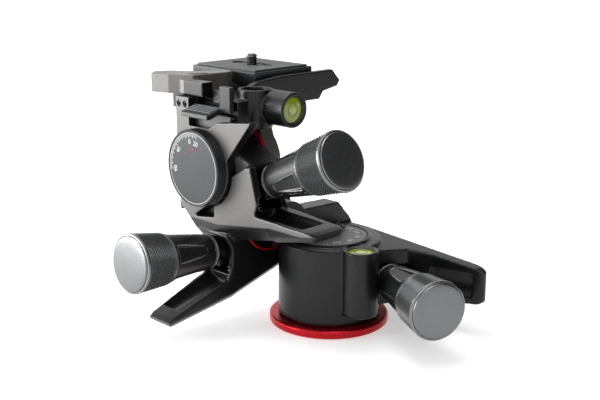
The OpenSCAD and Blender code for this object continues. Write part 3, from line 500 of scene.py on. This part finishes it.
def digits(value, size_mm, height_mm):
    """A number as a thin raised mesh, centred on the origin in the XY plane."""
    bpy.ops.object.select_all(action="DESELECT")
    bpy.ops.object.text_add()
    text = bpy.context.object.data
    text.body = str(value)
    text.align_x = "CENTER"
    text.align_y = "CENTER"
    text.size = size_mm * MM
    text.extrude = height_mm * MM
    text.resolution_u = 4
    bpy.ops.object.convert(target="MESH")
    return outward(weld(bpy.context.object))


def cad_copy(node, name):
    """A merged copy of a solid's mesh to work on."""
    obj = bpy.data.objects.new(name, frame["nodes"][node].data.copy())
    obj.data.materials.clear()
    bpy.context.scene.collection.objects.link(obj)
    return weld(obj)


def cast(node, name, voxel_mm, rounds):
    """A solid as a moulding."""
    return softened(cad_copy(node, name), voxel_mm, rounds)


def join(main, *others):
    """Joins pieces into the first."""
    only(main)
    for obj in others:
        obj.select_set(True)
    bpy.ops.object.join()
    return main


def copied(obj, name):
    """A copy of a piece with its own mesh."""
    twin = bpy.data.objects.new(name, obj.data.copy())
    bpy.context.scene.collection.objects.link(twin)
    return twin


def carve(obj, tool):
    """Takes one piece out of another and removes the tool."""
    change(obj, "BOOLEAN", operation="DIFFERENCE", object=tool, solver="EXACT")
    bpy.data.objects.remove(tool)
    return obj


def moved(x, y, z):
    """Place of a point given in mm."""
    return Matrix.Translation(Vector((x, y, z)) * MM)


def put(obj, matrix):
    """Moves a piece's mesh to its place; the object stays at the origin."""
    obj.data.transform(matrix)
    obj.data.update()
    return obj


def spread_round(obj, angles):
    """Copies of a piece turned about Z by each angle, joined, in place of the piece."""
    twins = [put(copied(obj, obj.name + "_set"), Matrix.Rotation(math.radians(a), 4, "Z")) for a in angles]
    bpy.data.objects.remove(obj)
    return join(*twins)


def paint(obj, *finishes):
    """Gives a piece its finishes."""
    obj.data.materials.clear()
    for finish in finishes:
        obj.data.materials.append(finish)
    return obj


def belongs(obj, body, slot, *nodes):
    """Parents a piece to the body it moves with and hides the solids it stands for; its slot is not used."""
    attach(obj, body)
    if nodes:
        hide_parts(*nodes)
    return obj


def gear_matrix(at, along, across, cd, neck):
    """Place of a knob's neck: Z along the knob, X towards its wheel."""
    u = Vector(along)
    v = Vector(across)
    w = u.cross(v)
    origin = (at - v * cd + u * neck) * MM
    return Matrix((
        (v.x, w.x, u.x, origin.x),
        (v.y, w.y, u.y, origin.y),
        (v.z, w.z, u.z, origin.z),
        (0, 0, 0, 1)))


# Knobs
pan_angle = -QUARTER - PAN_TURN
KNOBS = {
    "pan": gear_matrix(PAN_AT, (math.cos(pan_angle), math.sin(pan_angle), 0),
                       (math.sin(pan_angle), -math.cos(pan_angle), 0), PAN_CD, PAN_NECK),
    "lateral": gear_matrix(LATERAL_AT, (-math.cos(LATERAL_RISE), 0, math.sin(LATERAL_RISE)),
                           (math.sin(LATERAL_RISE), 0, math.cos(LATERAL_RISE)), TILT_CD, TILT_NECK),
    "front": gear_matrix(FRONT_AT, (0, -math.cos(FRONT_RISE), math.sin(FRONT_RISE)),
                         (0, math.sin(FRONT_RISE), math.cos(FRONT_RISE)), TILT_CD, TILT_NECK),
}


def fluted_cone():
    """Cone with a ringed neck and broad flutes, which flare outwards."""
    cone = turned("cone", [
        (KNOB_BORE, 0.0), (NECK_R - 0.9, 0.0), (NECK_R - 0.3, 0.3), (NECK_R - 0.1, 0.8), (NECK_R - 0.1, 1.5),
        (NECK_R - 0.7, 1.7), (NECK_R - 0.7, 2.3), (NECK_R + 0.2, 2.6), (CONE_R, CONE_LEN),
        (CONE_R, CONE_LEN + 0.5), (KNOB_BORE, CONE_LEN + 0.5), (KNOB_BORE, 0.0)])
    tool = put(bar("flute", FLUTE_WIDTH, FLUTE_END - FLUTE_START, KNOB_R), moved(0, FLUTE_START, FLUTE_FLOOR))
    pick_faces(tool, lambda normal: normal.y > 0.9)
    bpy.ops.transform.resize(value=(FLUTE_FLARE, 1, 1), center_override=(0, 0, 0))
    close()
    bevelled(tool, FLUTE_EDGE, segments=4)
    upright = Matrix(((0, 0, 1, 0), (1, 0, 0, 0), (0, 1, 0, 0), (0, 0, 0, 1)))
    tools = spread_round(put(tool, upright), [360 / FLUTES * i for i in range(FLUTES)])
    cone = softened(carve(cone, tools), voxel_mm=0.25, rounds=12)
    return put(cone, Matrix.Rotation(FLUTE_TURN, 4, "Z"))


def knurled_grip():
    """Grip band with a diamond knurl, coarse enough to show, between two plain lips, over a hidden core."""
    bpy.ops.object.select_all(action="DESELECT")
    bpy.ops.mesh.primitive_cone_add(
        vertices=KNURL_COLUMNS, radius1=(CONE_R + 0.25) * MM, radius2=(KNOB_R - 0.55) * MM,
        depth=(KNURL_HIGH - KNURL_LOW) * MM, end_fill_type="NOTHING")
    band = bpy.context.object
    edit(band)
    bpy.ops.transform.translate(value=(0, 0, (KNURL_LOW + KNURL_HIGH) / 2 * MM))
    # Rows of squares, each cut into four triangles
    pick_edges(band, lambda edge, a, b: abs(a.z - b.z) > 1)
    bpy.ops.mesh.subdivide(number_cuts=KNURL_ROWS - 1)
    close()
    corners = len(band.data.vertices)
    edit(band, "FACE")
    bpy.ops.mesh.poke(offset=0)
    # The squares' own sides go, which leaves diamonds, each drawn up to a point
    pick_edges(band, lambda edge, a, b: max(edge.vertices) < corners and (
        KNURL_LOW + KNURL_EDGE < (a.z + b.z) / 2 < KNURL_HIGH - KNURL_EDGE))
    bpy.ops.mesh.dissolve_edges(use_verts=False)
    edit(band, "FACE")
    bpy.ops.mesh.poke(offset=KNURL_RISE * MM)
    close()
    core = turned("core", [
        (KNOB_BORE, KNURL_LOW - 0.6), (CONE_R - 0.1, KNURL_LOW - 0.6), (CONE_R + 0.45, KNURL_LOW - 0.3),
        (CONE_R + 0.5, KNURL_LOW), (CONE_R + 0.1, KNURL_LOW + 0.1), (KNOB_R - 0.9, KNURL_HIGH - 0.1),
        (KNOB_R - 0.1, KNURL_HIGH), (KNOB_R, KNURL_HIGH + 0.3), (KNOB_R - 0.1, KNURL_HIGH + 0.9),
        (KNOB_R - 0.5, KNURL_HIGH + 1.3), (KNOB_R - 1.0, KNURL_HIGH + 1.4), (KNOB_R - 1.1, KNURL_HIGH + 0.5),
        (KNOB_BORE, KNURL_HIGH + 0.4), (KNOB_BORE, KNURL_LOW - 0.6)])
    return join(core, band)


def knob_cap():
    """Slightly domed end cap with a rounded edge, apart from the grip by a dark step."""
    edge = KNOB_R - 1.35
    back = KNOB_LEN - 1.3
    return turned("cap", [
        (0, back), (edge - 0.3, back), (edge - 0.3, back + 0.7), (edge, back + 0.8), (edge + 0.1, back + 1.2),
        (edge - 0.1, back + 1.6), (edge - 0.6, back + 1.85), (edge * 0.8, KNOB_LEN + 0.8),
        (edge * 0.6, KNOB_LEN + 1.0), (edge * 0.3, KNOB_LEN + 1.15), (0, KNOB_LEN + 1.2)])


cone = fluted_cone()
grip = knurled_grip()
cap = knob_cap()
for which, matrix in KNOBS.items():
    node = which + "_knob"
    for model, name, finish, slot, solid in (
            (cone, "_cone", black_nylon, "knob_plastic", node),
            (grip, "_grip", knurl_black, "knob_plastic", node),
            (cap, "_end", cap_lacquer, "cap_plastic", node + "_cap")):
        piece = paint(put(copied(model, node + name), matrix), finish)
        belongs(piece, node + "_body", slot, solid)
for model in (cone, grip, cap):
    bpy.data.objects.remove(model)

# Castings: body, slot, finish, voxel in mm and rounds of smoothing
for node, body, slot, finish, voxel_mm, rounds in (
        ("pan_housing", "pan_body", "black_casting", black_coat, 0.6, 6),
        ("centre_casting", "centre_body", "black_casting", coat_with_cheek_light, 0.6, 6),
        ("clamp_platform", "clamp_body", "black_casting", black_coat, 0.5, 4),
        ("fixed_jaw", "clamp_body", "black_casting", black_coat, 0.35, 4),
        ("left_stem", "clamp_body", "grey_metal", coat_with_cheek_light, 0.3, 6),
        ("right_leg", "clamp_body", "grey_metal", warm_grey, 0.4, 4),
        ("safety_catch", "catch_body", "black_casting", black_coat, 0.3, 3),
        ("lateral_carrier", "lateral_carrier_body", "grey_metal", black_coat, 0.4, 3),
        ("front_carrier", "front_carrier_body", "grey_metal", black_coat, 0.4, 3),
        ("pan_carrier", "pan_carrier_body", "grey_metal", black_coat, 0.4, 3)):
    belongs(paint(cast(node, node + "_moulding", voxel_mm, rounds), finish), body, slot, node)

# Web behind the catch's slot in the stem, with the bottom of its pocket
on_edge = Matrix(((0, 0, 1, 0), (0, 1, 0, 0), (-1, 0, 0, 0), (0, 0, 0, 1)))
web = put(bar("catch_slot_web", WEB_H, SLOT_LEN, WEB_WALL), moved(WEB_X, SLOT_Y, WEB_Z) @ on_edge)
bottom = put(bar("pocket_bottom", POCKET_W, SLOT_LEN, POCKET_WALL), moved(POCKET_X, SLOT_Y, POCKET_Z))
belongs(paint(join(web, bottom), black_coat), "clamp_body", "black_casting")

# Release springs, smoothed copies of their solids; the real ones give way when a wing is squeezed, these keep
# their shape
for which, body in (("pan", "pan_body"), ("lateral", "centre_body"), ("front", "centre_body")):
    spring = cad_copy(which + "_spring", which + "_spring_wire")
    change(spring, "SUBSURF", levels=1, render_levels=1)
    belongs(paint(smooth(spring, degrees=60), turned_steel), body, "steel", which + "_spring")
    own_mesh(spring)

# Red base ring
foot = turned("base_ring_turned", [
    (FOOT_BORE, 0.0), (FOOT_R - 1.4, 0.0), (FOOT_R - 0.7, 0.25), (FOOT_R - 0.2, 0.8), (FOOT_R, 1.4),
    (FOOT_R, FOOT_H - 1.2), (FOOT_R - 0.15, FOOT_H - 0.6), (FOOT_R - 0.6, FOOT_H - 0.15),
    (FOOT_R - 1.1, FOOT_H), (FOOT_R - 4.1, FOOT_H), (FOOT_R - 4.4, FOOT_H - 0.2),
    (FOOT_BORE, FOOT_H - 0.2), (FOOT_BORE, 0.0)], steps=160)
belongs(paint(foot, red_anodised), "base", "red_anodised", "base_ring")

# Red tilt rings: radii, thickness, place, and the height from which a block is cut out of them
front_place = moved(FRONT_RING_X, FRONT_AT.y, FRONT_AT.z) @ Matrix.Rotation(QUARTER, 4, "Y")
lateral_place = moved(LATERAL_AT.x, LATERAL_RING_Y, LATERAL_AT.z) @ Matrix.Rotation(QUARTER, 4, "X")
for node, inner, outer, thick, place, cut_from in (
        ("front_ring", 18.4, 20.3, 1.5, front_place, 44.5),
        ("lateral_ring", 17.4, 18.5, 0.9, lateral_place, 48.5)):
    half = thick / 2
    ring = put(turned(node + "_turned", [
        (inner, -half), (outer - RING_EDGE, -half), (outer, RING_EDGE - half), (outer, half - RING_EDGE),
        (outer - RING_EDGE, half), (inner, half), (inner, -half)], steps=160), place)
    centre = place.translation / MM
    block = put(bar("cut", RING_CUT_SIDE, RING_CUT_SIDE, RING_CUT_H),
                moved(centre.x, centre.y - RING_CUT_SIDE / 2, cut_from))
    belongs(paint(smooth(carve(ring, block)), red_ring), "centre_body", "red_anodised", node)


# Printed marks
def ticks(width, length, inner, face, ink, angles):
    """Printed ticks from one radius outwards, at each angle."""
    return spread_round(put(bar("tick", width, length, ink), moved(0, inner, face)), angles)


def figure(value, size, far, face, angle):
    """A printed number at a radius and an angle."""
    number = put(digits(value, size, INK), moved(0, far, face))
    return put(number, Matrix.Rotation(math.radians(angle), 4, "Z"))


def named(obj, name):
    """Gives a piece its name."""
    obj.name = name
    return obj


# Tilt dial, seen from the left
DIAL_PLACE = moved(DIAL_BACK, FRONT_AT.y, FRONT_AT.z) @ Matrix(
    ((0, 0, -1, 0), (-1, 0, 0, 0), (0, 1, 0, 0), (0, 0, 0, 1)))
disc = turned("front_dial_disc", [
    (0, DIAL_HUB_SINK), (DIAL_HUB_R, DIAL_HUB_SINK), (DIAL_HUB_R, 0), (DIAL_R - 0.4, 0), (DIAL_R, 0.4),
    (DIAL_R, DIAL_THICK - 0.7), (DIAL_R - 0.2, DIAL_THICK - 0.25), (DIAL_R - 0.6, DIAL_THICK),
    (DIAL_R - 1.0, DIAL_THICK - 0.05), (DIAL_R - 1.3, DIAL_FACE), (0, DIAL_FACE)], steps=128)
belongs(paint(put(disc, DIAL_PLACE), dark_anodised), "centre_body", "dial", "front_dial")
short = ticks(width=0.16, length=1.3, inner=16.7, face=DIAL_FACE, ink=INK,
              angles=[DIAL_ZERO + a for a in range(TILT_LOW, TILT_HIGH + 1, 2)])
long = ticks(width=0.22, length=2.2, inner=15.8, face=DIAL_FACE, ink=LONG_INK,
             angles=[DIAL_ZERO + a for a in range(TILT_LOW, TILT_HIGH + 1, 10)])
line = turned("line", [
    (DIAL_LINE_R, DIAL_FACE - 0.1), (DIAL_LINE_R, DIAL_FACE + INK),
    (DIAL_LINE_R + DIAL_LINE_W, DIAL_FACE + INK), (DIAL_LINE_R + DIAL_LINE_W, DIAL_FACE - 0.1),
    (DIAL_LINE_R, DIAL_FACE - 0.1)], steps=128)
figures = [figure(abs(angle), size=3.6, far=far, face=DIAL_FACE, angle=DIAL_ZERO + angle)
           for angle, far in ((TILT_LOW, 13.4), (0, 13.9), (TILT_HIGH // 2, 14.0), (TILT_HIGH, 14.0))]
marks = named(join(short, long, line, *figures), "front_dial_marks")
belongs(paint(put(marks, DIAL_PLACE), print_white), "centre_body", "dial")
dots = ticks(width=0.35, length=1.3, inner=9.4, face=DIAL_FACE, ink=INK, angles=[-3, 8, 40])
dots = named(dots, "front_dial_index")
belongs(paint(put(dots, DIAL_PLACE), print_red), "centre_body", "dial")

# Pan scale on top of the pan casting, and its index towards the level
plain = bevelled(cad_copy("pan_scale", "pan_scale_disc"), width_mm=0.3, segments=2)
belongs(paint(smooth(plain), dark_anodised), "pan_body", "dial", "pan_scale")
short = ticks(width=0.18, length=1.0, inner=18.2, face=SCALE_FACE, ink=INK,
              angles=range(SCALE_FROM, SCALE_TO + 1, 5))
long = ticks(width=0.24, length=1.8, inner=17.4, face=SCALE_FACE, ink=LONG_INK,
             angles=range(SCALE_FROM + 5, SCALE_TO, 10))
figures = [figure(angle % 360, size=3.0, far=15.2, face=SCALE_FACE, angle=angle)
           for angle in range(SCALE_FROM + 25, SCALE_TO, 30)]
marks = named(join(short, long, *figures), "pan_scale_marks")
belongs(paint(marks, print_white), "pan_body", "dial")
index = put(bar("pan_index", *INDEX_SIZE), moved(BOSS.x * INDEX_SHARE, BOSS.y * INDEX_SHARE, PAN_TOP))
belongs(paint(index, print_white), "pan_body", "dial")


# Spirit levels
def level(name, matrix, bezel_finish, body, node):
    """Domed vial with a ring mark and a bubble, in a bezel; Z points out of the level."""
    spirit = turned(name + "_spirit", [
        (0, 0), (VIAL_R - 0.1, 0), (VIAL_R - 0.1, VIAL_TOP - 0.8), (VIAL_R - 0.4, VIAL_TOP - 0.4),
        (VIAL_R - 2.3, VIAL_TOP - 0.15), (VIAL_R - 4.8, VIAL_TOP - 0.05), (0, VIAL_TOP)], steps=64)
    mark = turned(name + "_mark", [
        (MARK_R, VIAL_TOP - 0.4), (MARK_R, VIAL_TOP + 0.05), (MARK_R + 0.35, VIAL_TOP + 0.03),
        (MARK_R + 0.35, VIAL_TOP - 0.4), (MARK_R, VIAL_TOP - 0.4)], steps=64)
    bubble = turned(name + "_bubble", [
        (0, VIAL_TOP - 0.4), (BUBBLE_R, VIAL_TOP - 0.4), (BUBBLE_R, VIAL_TOP - 0.02),
        (BUBBLE_R - 0.5, VIAL_TOP + 0.12), (BUBBLE_R - 1.4, VIAL_TOP + 0.2), (0, VIAL_TOP + 0.22)], steps=48)
    bezel = turned(name + "_bezel", [
        (VIAL_R - 0.05, VIAL_TOP - 0.6), (VIAL_R + 0.1, VIAL_TOP + 0.6), (VIAL_R + 0.4, VIAL_TOP + 0.95),
        (BEZEL_R - 0.4, VIAL_TOP + 0.95), (BEZEL_R - 0.05, VIAL_TOP + 0.7), (BEZEL_R, VIAL_TOP + 0.3),
        (VIAL_R - 0.05, VIAL_TOP - 0.6)])
    put(bubble, moved(*BUBBLE_OFF))
    belongs(paint(put(spirit, matrix), spirit_green), body, "vial", node)
    belongs(paint(put(mark, matrix), black_nylon), body, "vial")
    belongs(paint(put(bubble, matrix), bubble_pale), body, "vial")
    belongs(paint(put(bezel, matrix), bezel_finish), body, "black_casting")


level("pan_level", moved(BOSS.x, BOSS.y, PAN_TOP - LEVEL_SINK), warm_grey, "pan_body", "pan_vial")
level("tube_level", moved(*TUBE_LEVEL), black_coat, "clamp_body", "tube_vial")
level("side_level", moved(*SIDE_LEVEL) @ Matrix.Rotation(QUARTER, 4, "X"), black_coat, "clamp_body",
      "side_vial")

# Clamp screws with a round recess in the head
for number, y in enumerate(CLAMP_SCREW_Y):
    head = turned("clamp_screw_%d" % number, [
        (0, 0), (CLAMP_SCREW_R, 0), (CLAMP_SCREW_R + 0.05, CLAMP_SCREW_LEN - 0.4),
        (CLAMP_SCREW_R - 0.15, CLAMP_SCREW_LEN), (CLAMP_SCREW_R - 0.65, CLAMP_SCREW_LEN + 0.05),
        (CLAMP_SCREW_R - 0.7, CLAMP_SCREW_LEN - 1.0), (0, CLAMP_SCREW_LEN - 1.1)], steps=24)
    put(head, moved(CLAMP_SCREW_X, y, CLAMP_SCREW_Z) @ Matrix.Rotation(-QUARTER, 4, "Y"))
    belongs(paint(head, dark_anodised), "clamp_body", "steel", "clamp_screws")

# Lever in grey with a black hub
lever = paint(cast("qr_lever", "qr_lever_shape", voxel_mm=0.32, rounds=6), warm_grey, black_coat)
for face in lever.data.polygons:
    x, y, z = face.center / MM
    in_hub = LEVER_HUB_X[0] < x < LEVER_HUB_X[1] and y < LEVER_HUB_Y and z < LEVER_HUB_TOP
    face.material_index = int(in_hub)
belongs(lever, "lever_body", "grey_metal", "qr_lever")


# Plate with fine bevels, and its pad with a slot
def pad_tool(name, width, length, height):
    """A round-ended tool through the pad, in the middle of the plate."""
    return put(rounded_bar(name, width, length, height), moved(PLATE.x, PLATE.y, PLATE_TOP - TOOL_SINK))


plate = cad_copy("plate", "plate_shape")
edit(plate)
bpy.ops.mesh.dissolve_limited(angle_limit=math.radians(0.5))
close()
bevelled(plate, PLATE_BEVEL, segments=3, degrees=38)
belongs(paint(smooth(plate), dark_anodised), "plate_body", "grey_metal", "plate")
pad = carve(cad_copy("plate_pad", "plate_pad_shape"),
            pad_tool("slot", PAD_SLOT_W, PAD_SLOT_LEN, SLOT_TOOL_H))
bevelled(pad, width_mm=0.3, segments=2)
belongs(paint(smooth(pad), pad_rubber), "plate_body", "rubber", "plate_pad")
liner = put(rounded_bar("plate_slot_liner", PAD_SLOT_W, PAD_SLOT_LEN, LINER_H),
            moved(PLATE.x, PLATE.y, PLATE_TOP - LINER_SINK))
carve(liner, pad_tool("bore", SCREW_HOLE_W, SCREW_HOLE_LEN, HOLE_TOOL_H))
belongs(paint(liner, pad_rubber), "plate_body", "rubber")

# Camera screw
thread = chain("camera_screw_thread", [
    (THREAD_ROOT, 0), (THREAD_CREST, THREAD_PITCH * 0.42), (THREAD_CREST, THREAD_PITCH * 0.58),
    (THREAD_ROOT, THREAD_PITCH)])
change(thread, "SCREW", axis="Z", steps=40, render_steps=40, screw_offset=THREAD_PITCH * MM,
       iterations=THREAD_TURNS, use_merge_vertices=True, merge_threshold=WELD)
put(thread, moved(0, 0, THREAD_LOW))
shank = turned("camera_screw_turned", [
    (0, SCREW_HEAD_LOW), (SCREW_HEAD_R - 0.6, SCREW_HEAD_LOW), (SCREW_HEAD_R - 0.1, SCREW_HEAD_LOW + 0.3),
    (SCREW_HEAD_R, SCREW_HEAD_LOW + 0.8), (SCREW_HEAD_R, SCREW_HEAD_LOW + 3.8),
    (SCREW_HEAD_R - 0.4, SCREW_HEAD_LOW + 4.4), (SCREW_SHANK_R, SCREW_HEAD_LOW + 4.6),
    (SCREW_SHANK_R, SCREW_TOP - 0.9), (SCREW_SHANK_R - 0.25, SCREW_TOP - 0.3),
    (SCREW_SHANK_R - 0.65, SCREW_TOP), (0, SCREW_TOP)], steps=64)
screw = outward(put(join(shank, thread), moved(PLATE.x, PLATE.y, 0)))
belongs(paint(smooth(screw, degrees=40), black_steel), "screw_body", "steel", "camera_screw")

# Ribs across the thumb catch
rib = bar("catch_ribs", *RIB_SIZE)
ribs = [put(copied(rib, "catch_ribs"), moved(*(RIB_FIRST + RIB_STEP * i))) for i in range(RIBS)]
bpy.data.objects.remove(rib)
belongs(paint(join(*ribs), black_coat), "catch_body", "black_casting")

# Floor, studio light and camera, in metres and degrees
FLOOR_SIZE = 8.0
FLOOR_DROP = 0.0002
GLOW_REACH = (0.2, 1.1)
GLOW_STRENGTH = (0.48, 1.0)
ROOM_LIGHT = 0.30
AIM = Vector((-0.02, 0.02, 0.07))
CARD_AT = (0.60, -0.62, 0.52)
CARD_SCALE = (1.7, 1.1, 1.0)
CAMERA_AT = (-0.37634, -0.35880, 0.20186)
CAMERA_DOWN = 14.663
CAMERA_TURN = -44.652
LENS_MM = 61.36
SENSOR_MM = 36.0


def seen_directly(tree):
    """1 for what the camera sees, also in a reflection or through glass, and 0 for light on a surface."""
    rays = add(tree, "ShaderNodeLightPath").outputs
    seen = rays["Is Camera Ray"]
    for kind in ("Is Glossy Ray", "Is Transmission Ray"):
        seen = add(tree, "ShaderNodeMath", None, {0: seen, 1: rays[kind]}, operation="MAXIMUM").outputs[0]
    return seen


def facing(holder, at):
    """Sets a lamp or card at a point, turned to the object."""
    holder.location = at
    holder.rotation_euler = (AIM - Vector(at)).to_track_quat("-Z", "Y").to_euler()


def softbox(name, at, width, height, watts):
    """A rectangular area lamp."""
    lamp = bpy.data.lights.new(name, "AREA")
    lamp.shape = "RECTANGLE"
    lamp.size = width
    lamp.size_y = height
    lamp.energy = watts
    holder = bpy.data.objects.new(name, lamp)
    bpy.context.scene.collection.objects.link(holder)
    facing(holder, at)


# White paper sweep: evenly white to the eye further out, with a soft shadow under the object
floor = plane("floor", FLOOR_SIZE, (0, 0, -FLOOR_DROP))
paper = bpy.data.materials.new("white_paper")
tree = emptied(paper)
seen = seen_directly(tree)
spot = add(tree, "ShaderNodeTexCoord").outputs["Object"]
away = add(tree, "ShaderNodeVectorMath", None, {0: spot}, operation="LENGTH")
rise = add(tree, "ShaderNodeMapRange",
           {"From Min": GLOW_REACH[0], "From Max": GLOW_REACH[1],
            "To Min": GLOW_STRENGTH[0], "To Max": GLOW_STRENGTH[1]}, {"Value": away.outputs["Value"]})
matt = add(tree, "ShaderNodeBsdfDiffuse", {"Color": srgb("#f4f4f4")})
glow = add(tree, "ShaderNodeEmission", {"Color": srgb("#ffffff")}, {"Strength": rise.outputs[0]})
lit = add(tree, "ShaderNodeAddShader", None, {0: matt.outputs[0], 1: glow.outputs[0]})
sheet = add(tree, "ShaderNodeMixShader", None, {0: seen, 1: matt.outputs[0], 2: lit.outputs[0]})
add(tree, "ShaderNodeOutputMaterial", None, {"Surface": sheet.outputs[0]})
floor.data.materials.append(paper)

# White room, dimmer as a light than to the eye
world = bpy.data.worlds.new("studio")
bpy.context.scene.world = world
tree = emptied(world)
strength = add(tree, "ShaderNodeMapRange", {"To Min": ROOM_LIGHT, "To Max": 1.0},
               {"Value": seen_directly(tree)})
sky = add(tree, "ShaderNodeBackground", {"Color": srgb("#ffffff")}, {"Strength": strength.outputs[0]})
add(tree, "ShaderNodeOutputWorld", None, {"Surface": sky.outputs[0]})

softbox("left_softbox", at=(-0.62, 0.55, 0.22), width=0.7, height=0.4, watts=9.0)
softbox("top_softbox", at=(-0.05, 0.25, 0.85), width=0.6, height=0.6, watts=5.0)
softbox("fill_softbox", at=(-0.55, -0.75, 0.60), width=0.4, height=0.4, watts=1.2)

# Card of black cloth beside the camera, which keeps the faces towards it deep
card = plane("dark_card", 1.0)
facing(card, CARD_AT)
card.scale = CARD_SCALE
card.visible_camera = False
cloth = bpy.data.materials.new("black_cloth")
tree = emptied(cloth)
felt = add(tree, "ShaderNodeBsdfDiffuse", {"Color": srgb("#161616")})
add(tree, "ShaderNodeOutputMaterial", None, {"Surface": felt.outputs[0]})
card.data.materials.append(cloth)

camera = bpy.data.objects.new("camera", bpy.data.cameras.new("camera"))
bpy.context.scene.collection.objects.link(camera)
camera.location = CAMERA_AT
camera.rotation_euler = (math.radians(90 - CAMERA_DOWN), 0, math.radians(CAMERA_TURN))
camera.data.lens = LENS_MM
camera.data.sensor_width = SENSOR_MM
camera.data.clip_start = 0.01
bpy.context.scene.camera = camera
bpy.context.scene.view_settings.view_transform = "Standard"
